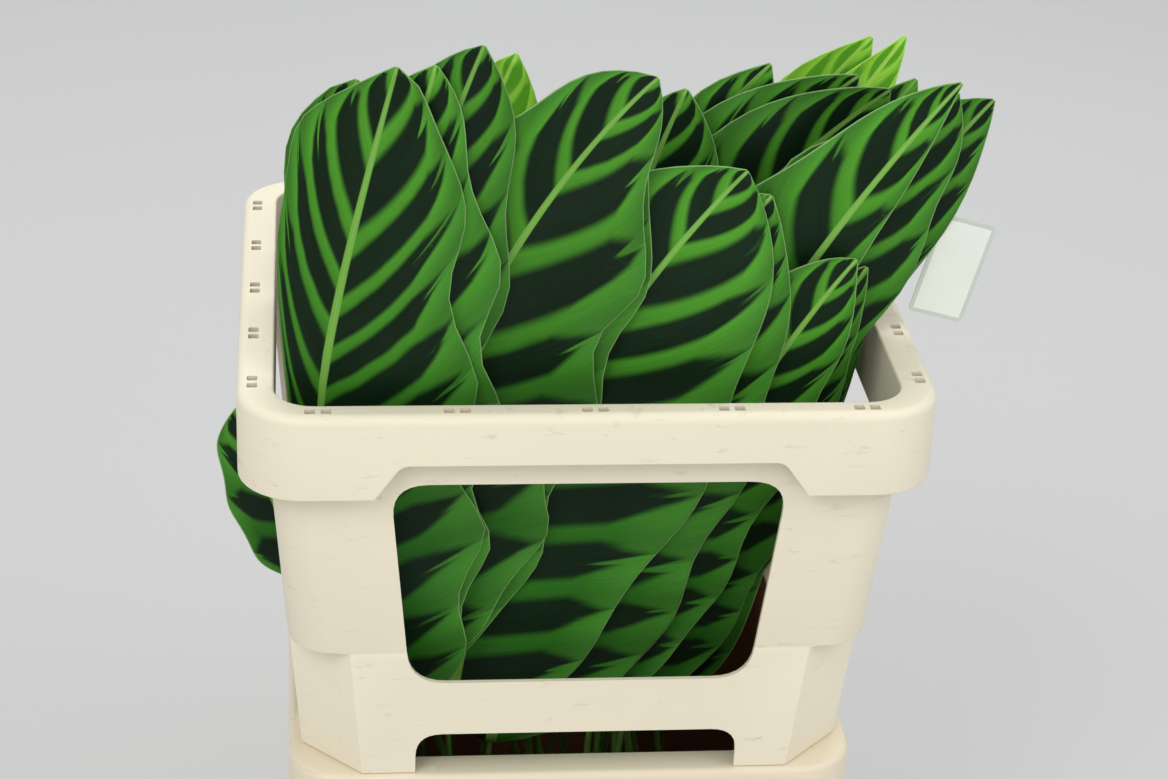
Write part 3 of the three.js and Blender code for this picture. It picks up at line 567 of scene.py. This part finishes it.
def stalk_material():
    """Leaf stalk: smooth, round and juicy, pale green with a faint length-wise grain"""
    material, add = new_material("leaf stalk")
    add("place", "TexCoord")
    add("long", "Mapping", {0: "place:Object", 3: (600, 600, 20)})
    add("grain", "TexNoise", {"Vector": "long", "Scale": 1.0, "Detail": 2.0})
    add("colour", "Mix", {0: "grain", 6: paint("#3E6B2A"), 7: paint("#7BA84A")}, data_type="RGBA")
    add("bump", "Bump", {"Strength": 0.2, "Distance": 0.0003, "Height": "grain"})
    add("surface", "BsdfPrincipled", {"Base Color": "colour:2", "Roughness": 0.35, "Normal": "bump"})
    add("end", "OutputMaterial", {0: "surface"})
    return material


def moulded_plastic(name, base):
    """Injection-moulded polypropylene, satin from use: faintly mottled, with grey scuffs and specks of dirt
    where it was handled. Cream outside; in warm brown it is painted shade, with a painted glow through the
    plastic, inside."""
    material, add = new_material(name)
    add("place", "TexCoord")
    add("cloud", "TexNoise", {"Vector": "place:Object", "Scale": 9.0, "Detail": 3.0})
    add("colour", "Mix", {0: "cloud", 6: (*base, 1), 7: (*[c * 0.93 for c in base], 1)}, data_type="RGBA")
    # Scuffs: short grey smears about 10 mm long, and specks of 1 mm
    add("stretch", "Mapping", {0: "place:Object", 2: (0.3, 0.2, 0.5), 3: (45, 45, 160)})
    add("smear", "TexNoise", {"Vector": "stretch", "Scale": 1.0, "Detail": 6.0, "Roughness": 0.7})
    add("scuffs", "MapRange", {"Value": "smear", "From Min": 0.6, "From Max": 0.8, "To Max": 0.5})
    add("grit", "TexNoise", {"Vector": "place:Object", "Scale": 420.0, "Detail": 1.0})
    add("specks", "MapRange", {"Value": "grit", "From Min": 0.8, "From Max": 0.85, "To Max": 0.45})
    add("dirt", "Math", {0: "scuffs", 1: "specks"}, operation="MAXIMUM")
    add("colour 2", "Mix", {0: "dirt", 6: "colour:2", 7: paint("#837B6D")}, data_type="RGBA")
    add("rough", "MapRange", {"Value": "smear", "To Min": 0.34, "To Max": 0.6})
    # Fine mould texture, 0.4 mm grain
    add("grain", "TexNoise", {"Vector": "place:Object", "Scale": 1400.0, "Detail": 1.0})
    add("bump", "Bump", {"Strength": 0.08, "Distance": 0.0004, "Height": "grain"})
    add("surface", "BsdfPrincipled", {
        "Base Color": "colour 2:2", "Roughness": "rough", "Normal": "bump", "IOR": 1.49,
        "Subsurface Weight": 0.08, "Subsurface Radius": (0.004, 0.003, 0.002), "Subsurface Scale": 1.0})
    add("end", "OutputMaterial", {0: "surface"})
    return material


# Plastic shapes

def ring(half, corner, z, chamfered=False):
    """A rounded or chamfered rectangle at height z, anticlockwise"""
    points = []
    for turn, (right, rear) in enumerate([(1, -1), (1, 1), (-1, 1), (-1, -1)]):
        x = right * (half[0] - corner)
        y = rear * (half[1] - corner)
        ends = [math.radians(90 * (turn - 1 + k)) for k in (0, 1)]
        for k in range(CORNER_STEPS + 1):
            share = k / CORNER_STEPS
            if chamfered:
                dx, dy = [lerp(f(ends[0]), f(ends[1]), share) for f in (math.cos, math.sin)]
            else:
                dx, dy = [f(lerp(*ends, share)) for f in (math.cos, math.sin)]
            points.append((x + corner * dx, y + corner * dy, z))
    return points


def inset(half, by):
    return half[0] - by, half[1] - by


def rounded(half, corner, z, radius, quarter, steps=4):
    """Rings round an edge. The flat faces would meet at half and z, and quarter is the angle it starts at."""
    rings = []
    cx, cz = {0: (-1, -1), 90: (1, -1), 180: (1, 1), 270: (-1, 1)}[quarter]
    for k in range(steps + 1):
        angle = math.radians(quarter + 90 * k / steps)
        out = radius * (cx + math.cos(angle))
        rings.append(ring((half[0] + out, half[1] + out), corner + out, z + radius * (cz + math.sin(angle))))
    return rings


def collar_half(drop):
    lean = COLLAR_TAPER * max(0, drop - SKIRT_DROP)
    return COLLAR_RIM[0] - COLLAR_INSET[0] - lean, COLLAR_RIM[1] - COLLAR_INSET[1] - lean


def collar_rings():
    """The collar's section, once round: over the rim, down the skirt and back, down the wall and up inside"""
    top = COLLAR_TOP
    skirt = top - SKIRT_DROP
    step = top - STEP_DROP
    wall = collar_half(0)
    rings = rounded(inset(wall, WALL), COLLAR_CORNER - WALL, top, 1.5, 90)[::-1]
    rings += rounded(COLLAR_RIM, COLLAR_RIM_CORNER, top, 5.5, 0, 6)[::-1]
    rings += rounded(COLLAR_RIM, COLLAR_RIM_CORNER, skirt, 1.2, 270)[::-1]
    rings += rounded(inset(COLLAR_RIM, WALL), COLLAR_RIM_CORNER - WALL, skirt, 0.6, 180)[::-1]
    rings.append(ring(inset(COLLAR_RIM, WALL), COLLAR_RIM_CORNER - WALL, top - WALL - 2))
    rings.append(ring(inset(COLLAR_RIM, WALL + 2), COLLAR_RIM_CORNER - WALL - 2, top - WALL))
    rings.append(ring(inset(wall, -2), COLLAR_CORNER + 2, top - WALL))
    rings.append(ring(wall, COLLAR_CORNER, top - WALL - 2))
    rings.append(ring(wall, COLLAR_CORNER, skirt))
    rings.append(ring(collar_half(STEP_DROP - 2), COLLAR_CORNER, step + 2))
    rings.append(ring(inset(collar_half(STEP_DROP), 0.4), COLLAR_CORNER, step + 0.4))
    rings.append(ring(inset(collar_half(STEP_DROP), 0.5), STEP_CHAMFER, step - 0.8, True))
    rings.append(ring(collar_half(STEP_DROP + 2), STEP_CHAMFER, step - 2, True))
    foot = collar_half(COLLAR_HEIGHT)
    rings.append(ring(foot, STEP_CHAMFER, COLLAR_FOOT + 0.6, True))
    rings.append(ring(inset(foot, 0.6), STEP_CHAMFER - 0.4, COLLAR_FOOT, True))
    rings.append(ring(inset(foot, WALL - 0.6), STEP_CHAMFER - 1.4, COLLAR_FOOT, True))
    inner = STEP_CHAMFER - WALL * CHAMFER_INSET
    rings.append(ring(inset(foot, WALL), inner, COLLAR_FOOT + 0.6, True))
    rings.append(ring(inset(collar_half(STEP_DROP - WALL), WALL), inner, step + WALL, True))
    rings.append(ring(inset(collar_half(STEP_DROP - WALL - 1), WALL), COLLAR_CORNER - WALL, step + WALL + 1))
    rings.append(ring(inset(wall, WALL), COLLAR_CORNER - WALL, skirt))
    return rings


def prism(name, outline, end_wall, side, low=100, high=230):
    """A cutter through one wall. The outline is in the wall's plane, as across and z."""
    def turn(across, out, z):
        if end_wall:
            return (side * out, across, z)
        return (across, side * out, z)
    return loft(name, [[turn(a, out, z) for a, z in outline] for out in (low, high)])


def rounded_outline(corners, radii, steps=7):
    """A polygon in a wall's plane with its corners rounded"""
    points = []
    count = len(corners)
    for i, (corner, radius) in enumerate(zip(corners, radii)):
        before, after = corners[i - 1], corners[(i + 1) % count]
        ends = []
        for other in (before, after):
            away = [other[k] - corner[k] for k in (0, 1)]
            size = math.hypot(*away)
            ends.append([corner[k] + away[k] * radius / size for k in (0, 1)])
        for k in range(steps + 1):
            share = k / steps
            points.append([lerp(lerp(ends[0][j], corner[j], share), lerp(corner[j], ends[1][j], share), share)
                           for j in (0, 1)] if radius else corner)
            if not radius:
                break
    return points


def wall_cutters(wall, end_wall, side):
    top = COLLAR_TOP
    window = rounded_outline(
        [(-wall["foot"], top - WINDOW_BOTTOM), (wall["foot"], top - WINDOW_BOTTOM),
         (wall["top"], top - WINDOW_TOP), (-wall["top"], top - WINDOW_TOP)], [WINDOW_CORNER] * 4)
    slot = rounded_outline(
        [(-wall["slot"], COLLAR_FOOT - 3), (wall["slot"], COLLAR_FOOT - 3),
         (wall["slot"], COLLAR_FOOT + SLOT_HEIGHT), (-wall["slot"], COLLAR_FOOT + SLOT_HEIGHT)],
        [0, 0, SLOT_CORNER, SLOT_CORNER])
    foot = top - SKIRT_DROP
    notch_foot = wall["notch"] + NOTCH_SLANT + 3 * NOTCH_SLANT / NOTCH_RISE
    notch = rounded_outline(
        [(-notch_foot, foot - 3), (notch_foot, foot - 3),
         (wall["notch"], foot + NOTCH_RISE), (-wall["notch"], foot + NOTCH_RISE)], [0, 0, 5, 5])
    inside = collar_half(0)[0 if end_wall else 1]
    return [prism("window", window, end_wall, side), prism("slot", slot, end_wall, side),
            prism("notch", notch, end_wall, side, inside + 4)]


def drain_cutters():
    """Pairs of short slots through the rim's land, which let water off it"""
    cutters = []
    for axis in (0, 1):
        reach = COLLAR_RIM[1 - axis] - DRAIN_INSET
        for pair in range(-2, 3):
            for half in (-0.5, 0.5):
                for side in (-1, 1):
                    along = pair * DRAIN_PITCH[axis] + half * DRAIN_APART
                    centre = (along, side * reach) if axis == 0 else (side * reach, along)
                    cutters.append(loft("drain", [
                        [(x + centre[0], y + centre[1], z) for x, y, z in ring(DRAIN_SLOT, 0.9, z)]
                        for z in (COLLAR_TOP - 2 * WALL, COLLAR_TOP + WALL)]))
    return cutters


def paint_shade_on_hidden_faces(made, is_hidden):
    """Gives faces that only show through openings the second material: painted shade, warm from light through
    the plastic
    """
    for face in made.data.polygons:
        x, y, z = [c / MM for c in face.center]
        inwards = -(x * face.normal.x + y * face.normal.y) / math.hypot(x, y, 1)
        if is_hidden(x, y, z, face.normal.z, inwards):
            face.material_index = 1


def in_channel(x, y, z, up, inwards):
    """Under the collar's land, between its skirt and its wall"""
    beyond = max(abs(x) - COLLAR_RIM[0] + COLLAR_INSET[0], abs(y) - COLLAR_RIM[1] + COLLAR_INSET[1])
    faces_in = up < -0.5 or inwards > 0.4 and z < COLLAR_TOP - 4
    return beyond > -0.5 and z > COLLAR_TOP - SKIRT_DROP + 2 and faces_in


def in_mouth(x, y, z, up, inwards):
    """The bucket's inner faces"""
    within = abs(x) < BUCKET_MOUTH[0] - 0.5 and abs(y) < BUCKET_MOUTH[1] - 0.5
    return within and BUCKET_FLOOR - 1 < z < BUCKET_HEIGHT - 6 and (up > 0.5 or inwards > 0.4)


def build_collar():
    collar = loft("flower_bucket_collar", collar_rings(), True)
    cutters = drain_cutters()
    for wall, end_wall in ((LONG_WALL, False), (END_WALL, True)):
        for side in (-1, 1):
            cutters += wall_cutters(wall, end_wall, side)
    cutter = join(cutters)
    apply_modifier(collar, "BOOLEAN", operation="DIFFERENCE", solver="EXACT", object=cutter)
    bpy.data.objects.remove(cutter)
    return collar


def build_bucket():
    high = BUCKET_HEIGHT
    rings = rounded(inset(BUCKET_FOOT, WALL), BUCKET_CORNER - WALL, BUCKET_FLOOR, 4, 270)
    rings += rounded(inset(BUCKET_MOUTH, WALL), BUCKET_CORNER - WALL, high, 1.5, 90)[::-1]
    rings += rounded(BUCKET_RIM, BUCKET_CORNER, high, 4, 0)[::-1]
    rings += rounded(BUCKET_RIM, BUCKET_CORNER, high - BUCKET_SKIRT, 1.2, 270)[::-1]
    rings.append(ring(inset(BUCKET_RIM, WALL), BUCKET_CORNER - WALL, high - BUCKET_SKIRT))
    rings.append(ring(inset(BUCKET_RIM, WALL), BUCKET_CORNER - WALL, high - WALL - 2))
    rings.append(ring(inset(BUCKET_RIM, WALL + 2), BUCKET_CORNER - WALL - 2, high - WALL))
    rings.append(ring(BUCKET_MOUTH, BUCKET_CORNER, high - WALL))
    rings += rounded(BUCKET_FOOT, BUCKET_CORNER, 0, 5, 270)[::-1]
    return loft("flower_bucket", rings)


# Leaves

def build_blade(leaf, name, dice):
    columns, rows = FRONT_GRID if leaf.layer < FRONT_LAYER else REAR_GRID
    spine = midrib(leaf, rows)
    stripes = leaf.stripes or plain_stripes(leaf, dice)
    seed, tone = dice.uniform(0, 40), dice.random()
    facts = {}

    def place(column, row):
        share = 2 * column - 1
        side = 0 if share < 0 else 1
        x, z, lean, along = spine[round(row * rows)]
        half = half_width(leaf, along, side)
        out = abs(share) * half
        phase = stripe_phase(stripes[side], vein_start(leaf, along, out, abs(share)))
        z -= share * half * math.sin(lean)
        x += share * half * math.cos(lean)
        if not leaf.outside:
            x = squeeze(x, z)
        facts[round(column * columns), round(row * rows)] = (phase, out)
        return x, layer_depth(leaf.layer, x, z) + relief(leaf, along, share, out, phase), z

    blade = grid_mesh(name, columns, rows, place)
    mesh = blade.data
    plain = mesh.uv_layers[0]
    spots = [(round(loop.uv.x * columns), round(loop.uv.y * rows)) for loop in plain.data]
    plain.name = "LeafMap"
    for layer_name in ("LeafPlace", "LeafTone"):
        mesh.uv_layers.new(name=layer_name)
    for i, spot in enumerate(spots):
        phase, out = facts[spot]
        mesh.uv_layers["LeafMap"].data[i].uv = (spot[0] / columns, phase)
        mesh.uv_layers["LeafPlace"].data[i].uv = (row_place(spot[1] / rows), out * MM)
        mesh.uv_layers["LeafTone"].data[i].uv = (seed, tone)
    return blade


def stalk_path(leaf):
    """From the tip down the midrib and the stalk to the bucket's floor: x, lift, z, lean and radius"""
    rows = 40
    path = []
    spine = midrib(leaf, rows)
    for i in range(rows - 1, -1, -1):
        x, z, lean, along = spine[i]
        radius = lerp(*MIDRIB_RADIUS, along)
        path.append((x, 1.3 + 0.9 * radius, z, lean, radius))
    x, z, lean, _ = spine[0]
    pulls = [(x, z), (x - STALK_PULL * math.sin(lean), z - STALK_PULL * math.cos(lean)),
             (leaf.foot, STALK_STRAIGHT + STALK_PULL), (leaf.foot, STALK_STRAIGHT)]
    for i in range(1, STALK_STEPS + 1):
        t = i / STALK_STEPS
        weights = ((1 - t) ** 3, 3 * t * (1 - t) ** 2, 3 * t * t * (1 - t), t ** 3)
        px, pz = [sum(w * p[k] for w, p in zip(weights, pulls)) for k in (0, 1)]
        turn = math.atan2(path[-1][0] - px, path[-1][2] - pz)
        radius = lerp(MIDRIB_RADIUS[0], STALK_RADIUS, min(1, 3 * t))
        path.append((px, (1 - t) * path[rows - 1][1], pz, turn, radius))
    path.append((leaf.foot, 0, BUCKET_FLOOR + GAP, 0, STALK_RADIUS))
    return path


def build_stalk(leaf):
    rings = []
    for x, lift, z, lean, radius in stalk_path(leaf):
        y = layer_depth(leaf.layer, x, z) + lift
        angles = [math.tau * k / STALK_SIDES for k in range(STALK_SIDES)]
        rings.append([(x + radius * math.cos(a) * math.cos(lean), y + radius * math.sin(a),
                       z - radius * math.cos(a) * math.sin(lean)) for a in angles])
    return loft("stalk", rings)


def build_leaf(leaf, name, dice, surfaces):
    upper, under, stalk_finish = surfaces
    blade = build_blade(leaf, name, dice)
    for finish in (upper, under, stalk_finish):
        blade.data.materials.append(finish)
    close_shell(blade, False)
    if sum(face.normal.y for face in blade.data.polygons) > 0:
        blade.data.flip_normals()
    apply_modifier(blade, "SOLIDIFY", thickness=BLADE_THICK * MM, offset=0.0, material_offset=1,
                   use_even_offset=False)
    stalk = build_stalk(leaf)
    stalk.data.materials.append(stalk_finish)
    made = join([blade, stalk])
    bpy.ops.object.shade_smooth()
    return made


def build_leaves(backlit):
    dice = random.Random(7 if backlit else 3)
    stalk_finish = stalk_material()
    # Backlit leaves get lime colours, the painted glow of light through the blade
    if backlit:
        upper = leaf_blade("leaf blade painted backlight glow", BACKLIT_GLOW_BLADE, 0.9)
        under = leaf_blade("leaf underside painted backlight glow", BACKLIT_GLOW_UNDERSIDE, 0.5)
    else:
        upper = leaf_blade("zebra leaf blade", ZEBRA_BLADE)
        under = leaf_blade("zebra leaf underside", ZEBRA_UNDERSIDE, 0.7)
    for i, leaf in enumerate(LEAVES):
        if leaf.backlit == backlit:
            number = f"{i + 1:02d}"
            made = build_leaf(leaf, "zebra_leaf_" + number, dice, (upper, under, stalk_finish))
            place_piece(made, ["leaf_" + number])


def colour_property(name, description, default):
    return bpy.props.FloatVectorProperty(
        name=name, description=description, subtype="COLOR", size=3, min=0, max=1, default=linear(default))


class CutLeafColours(bpy.types.PropertyGroup):
    """Colours of the plastic and the floor"""
    collar: colour_property("Collar", "Colour of the collar's plastic", "#EFE6CE")
    bucket: colour_property("Bucket", "Colour of the bucket's plastic", "#E9DEC4")
    # Inner shade: a warm brown painted on inner faces as shade, with a painted warm glow through the plastic
    inner_shade: colour_property("Inner Shade", "Painted shade on the plastic inside, with a warm glow through it", "#9A6844")
    floor: colour_property("Floor", "Colour of the studio floor", "#C3C3C3")


class CUTLEAF_OT_stage(bpy.types.Operator):
    """Add the floor, the soft lights and the camera"""
    bl_idname = "cutleaf.stage"
    bl_label = "Studio"

    def execute(self, context):
        deselect()
        bpy.ops.mesh.primitive_plane_add(size=16, location=(0, 1, 0))
        floor = context.object
        floor.name = "studio_floor"
        material, add = new_material("painted studio floor")
        add("place", "TexCoord")
        add("cloud", "TexNoise", {"Vector": "place:Object", "Scale": 1.2, "Detail": 2.0})
        tint = context.scene.cut_leaf_colours.floor
        add("colour", "Mix", {0: "cloud", 6: (*tint, 1), 7: (*[c * 1.05 for c in tint], 1)}, data_type="RGBA")
        add("surface", "BsdfPrincipled", {"Base Color": "colour:2", "Roughness": 0.8})
        add("end", "OutputMaterial", {0: "surface"})
        floor.data.materials.append(material)
        context.scene.view_settings.view_transform = "Standard"
        world = bpy.data.worlds.new("studio")
        context.scene.world = world
        world.use_nodes = True
        background = world.node_tree.nodes["Background"].inputs
        background["Color"].default_value = (0.96, 0.97, 0.975, 1)
        background["Strength"].default_value = 0.7
        for place, aim, size, power, tint in (
            ((-1.5, -2.2, 2.9), (0, 0, 0.5), 1.8, 34, (1, 0.98, 0.97)),
            ((1.9, -1.4, 2.4), (0, 0, 0.5), 1.8, 15, (0.98, 0.99, 1)),
            ((0.2, 1.6, 3.0), (0, 0.3, 0.4), 2.2, 36, (1, 1, 1)),
            ((0.1, -2.4, 0.7), (0, 0, 0.4), 1.6, 7, (1, 0.99, 0.98)),
        ):
            bpy.ops.object.light_add(type="AREA", location=place)
            lamp = context.object
            lamp.data.shape = "DISK"
            lamp.data.size = size
            lamp.data.energy = power
            lamp.data.color = tint
            away = [a - b for a, b in zip(place, aim)]
            flat = math.hypot(away[0], away[1])
            lamp.rotation_euler = (math.atan2(flat, away[2]), 0, math.atan2(away[0], -away[1]))
        self.add_camera(context)
        return {"FINISHED"}

    def add_camera(self, context):
        yaw, pitch, roll = [math.radians(a) for a in CAMERA_TURN]
        right = (math.cos(yaw), -math.sin(yaw), 0)
        forward = (math.sin(yaw) * math.cos(pitch), math.cos(yaw) * math.cos(pitch), -math.sin(pitch))
        up = (right[1] * forward[2], -right[0] * forward[2], right[0] * forward[1] - right[1] * forward[0])
        along = [r * math.cos(roll) + u * math.sin(roll) for r, u in zip(right, up)]
        over = [-r * math.sin(roll) + u * math.cos(roll) for r, u in zip(right, up)]
        bpy.ops.object.camera_add()
        camera = context.object
        rows = [(along[k], over[k], -forward[k], CAMERA_SPOT[k]) for k in range(3)]
        camera.matrix_world = Matrix(rows + [(0, 0, 0, 1)])
        camera.data.sensor_width = SENSOR_WIDTH
        camera.data.lens = SENSOR_WIDTH * FOCAL_PIXELS / PICTURE_WIDTH
        context.scene.camera = camera


class CUTLEAF_OT_bucket(bpy.types.Operator):
    """Add the flower bucket"""
    bl_idname = "cutleaf.bucket"
    bl_label = "Bucket"

    def execute(self, context):
        bucket = build_bucket()
        colours = context.scene.cut_leaf_colours
        bucket.data.materials.append(moulded_plastic("moulded bucket polypropylene", colours.bucket))
        # The second material is painted shade, warm from light through the plastic, on the bucket's inner
        # faces
        bucket.data.materials.append(moulded_plastic("bucket polypropylene painted inner shade", colours.inner_shade))
        paint_shade_on_hidden_faces(bucket, in_mouth)
        bpy.ops.object.shade_smooth_by_angle(angle=math.radians(35))
        place_piece(bucket, ["bucket"])
        return {"FINISHED"}


class CUTLEAF_OT_collar(bpy.types.Operator):
    """Add the windowed collar that stands on the bucket"""
    bl_idname = "cutleaf.collar"
    bl_label = "Collar"

    def execute(self, context):
        collar = build_collar()
        collar.data.materials.clear()
        colours = context.scene.cut_leaf_colours
        collar.data.materials.append(moulded_plastic("moulded collar polypropylene", colours.collar))
        # The second material is painted shade, warm from light through the plastic, under the collar's land
        collar.data.materials.append(moulded_plastic("collar polypropylene painted inner shade", colours.inner_shade))
        paint_shade_on_hidden_faces(collar, in_channel)
        deselect()
        collar.select_set(True)
        context.view_layer.objects.active = collar
        bpy.ops.object.shade_smooth_by_angle(angle=math.radians(35))
        bars = [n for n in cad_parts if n.startswith("collar_")]
        place_piece(collar, bars)
        return {"FINISHED"}


class CUTLEAF_OT_water(bpy.types.Operator):
    """Give the water standing in the bucket its still, faintly green finish"""
    bl_idname = "cutleaf.water"
    bl_label = "Water"

    def execute(self, context):
        # Still water, faintly green from the stalks: clear, smooth and glossy
        material, add = new_material("still water")
        add("place", "TexCoord")
        add("ripple", "TexNoise", {"Vector": "place:Object", "Scale": 30.0, "Detail": 1.0})
        add("tint", "Mix", {0: "ripple", 6: paint("#AFC9B4"), 7: paint("#C4D8CC")}, data_type="RGBA")
        add("bump", "Bump", {"Strength": 0.1, "Distance": 0.001, "Height": "ripple"})
        add("surface", "BsdfPrincipled", {"Base Color": "tint:2", "Roughness": 0.05, "IOR": 1.333,
                                          "Transmission Weight": 0.8, "Normal": "bump"})
        add("end", "OutputMaterial", {0: "surface"})
        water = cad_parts["water"]
        for slot in water.material_slots:
            slot.material = material
        return {"FINISHED"}


class CUTLEAF_OT_card(bpy.types.Operator):
    """Add the blank plastic card among the leaves"""
    bl_idname = "cutleaf.card"
    bl_label = "Card"

    def execute(self, context):
        tilt = math.radians(CARD_TILT)

        def place(column, row):
            across, up = [CARD_SIZE[k] * (share - 0.5) for k, share in enumerate((column, row))]
            # Rounded corners: points in a corner square move onto its arc
            over = [max(0, abs(v) - (CARD_SIZE[k] / 2 - CARD_CORNER)) for k, v in enumerate((across, up))]
            far = math.hypot(*over)
            if far > 0 and min(over) > 0:
                pull = max(over) / far
                across = math.copysign(CARD_SIZE[0] / 2 - CARD_CORNER + over[0] * pull, across)
                up = math.copysign(CARD_SIZE[1] / 2 - CARD_CORNER + over[1] * pull, up)
            x = CARD_PLACE[0] + across * math.cos(tilt) + up * math.sin(tilt)
            z = COLLAR_TOP + CARD_PLACE[1] - across * math.sin(tilt) + up * math.cos(tilt)
            return x, layer_depth(CARD_LAYER, x, z), z

        card = grid_mesh("label_card_blank", 24, 40, place)
        apply_modifier(card, "SOLIDIFY", thickness=CARD_THICK * MM, offset=0.0)
        # Thin frosted polypropylene: milky, satin, lets some light through
        material, add = new_material("frosted card polypropylene")
        add("place", "TexCoord")
        add("cloud", "TexNoise", {"Vector": "place:Object", "Scale": 60.0, "Detail": 3.0})
        # A white panel with a clearer border 2.5 mm wide
        add("face", "UVMap")
        add("centre", "Mapping", {0: "face", 1: (-0.5, -0.5, 0)})
        add("parts", "SeparateXYZ", {0: "centre"})
        for key, axis, whole in (("across", "X", CARD_SIZE[0]), ("up", "Y", CARD_SIZE[1])):
            add(key, "Math", {0: "parts:" + axis}, operation="ABSOLUTE")
            add("from " + key, "Math", {0: key, 1: -whole, 2: whole / 2}, operation="MULTIPLY_ADD")
        add("from edge", "Math", {0: "from across", 1: "from up"}, operation="MINIMUM")
        add("panel", "MapRange", {"Value": "from edge", "From Min": 2.2, "From Max": 2.8})
        add("milky", "Mix", {0: "cloud", 6: paint("#E2E7DC"), 7: paint("#EEF1E8")}, data_type="RGBA")
        add("colour", "Mix", {0: "panel", 6: paint("#D0D8CC"), 7: "milky:2"}, data_type="RGBA")
        add("clear", "MapRange", {"Value": "panel", "To Min": 0.75, "To Max": 0.97})
        add("bump", "Bump", {"Strength": 0.1, "Distance": 0.0005, "Height": "cloud"})
        add("surface", "BsdfPrincipled", {"Base Color": "colour:2", "Roughness": 0.3, "Alpha": "clear",
                                          "Normal": "bump"})
        add("end", "OutputMaterial", {0: "surface"})
        card.data.materials.append(material)
        bpy.ops.object.shade_smooth_by_angle(angle=math.radians(40))
        place_piece(card, ["label_card"])
        return {"FINISHED"}


class CUTLEAF_OT_striped_leaves(bpy.types.Operator):
    """Add the full-grown striped leaves with their stalks"""
    bl_idname = "cutleaf.striped_leaves"
    bl_label = "Striped Leaves"

    def execute(self, context):
        build_leaves(False)
        return {"FINISHED"}


class CUTLEAF_OT_backlit_leaves(bpy.types.Operator):
    """Add the backlit leaves: lime green, the painted glow of light shining through them"""
    bl_idname = "cutleaf.young_leaves"
    bl_label = "Backlit Leaves"

    def execute(self, context):
        build_leaves(True)
        return {"FINISHED"}


class CUTLEAF_PT_panel(bpy.types.Panel):
    """Colours of the plastic and the floor, and a button for each group of pieces"""
    bl_idname = "CUTLEAF_PT_panel"
    bl_label = "Cut Leaves"
    bl_space_type = "VIEW_3D"
    bl_region_type = "UI"
    bl_category = "Cut Leaves"

    def draw(self, context):
        for name in CutLeafColours.__annotations__:
            self.layout.prop(context.scene.cut_leaf_colours, name)
        for operator in OPERATORS:
            self.layout.operator(operator.bl_idname)


OPERATORS = (CUTLEAF_OT_stage, CUTLEAF_OT_bucket, CUTLEAF_OT_collar, CUTLEAF_OT_water, CUTLEAF_OT_card,
             CUTLEAF_OT_striped_leaves, CUTLEAF_OT_backlit_leaves)
CLASSES = (CutLeafColours, *OPERATORS, CUTLEAF_PT_panel)


def register():
    for item in CLASSES:
        bpy.utils.register_class(item)
    bpy.types.Scene.cut_leaf_colours = bpy.props.PointerProperty(type=CutLeafColours)


def unregister():
    del bpy.types.Scene.cut_leaf_colours
    for item in reversed(CLASSES):
        bpy.utils.unregister_class(item)


def main():
    register()
    for operator in OPERATORS:
        group, name = operator.bl_idname.split(".")
        getattr(getattr(bpy.ops, group), name)()


if __name__ == "__main__":
    main()
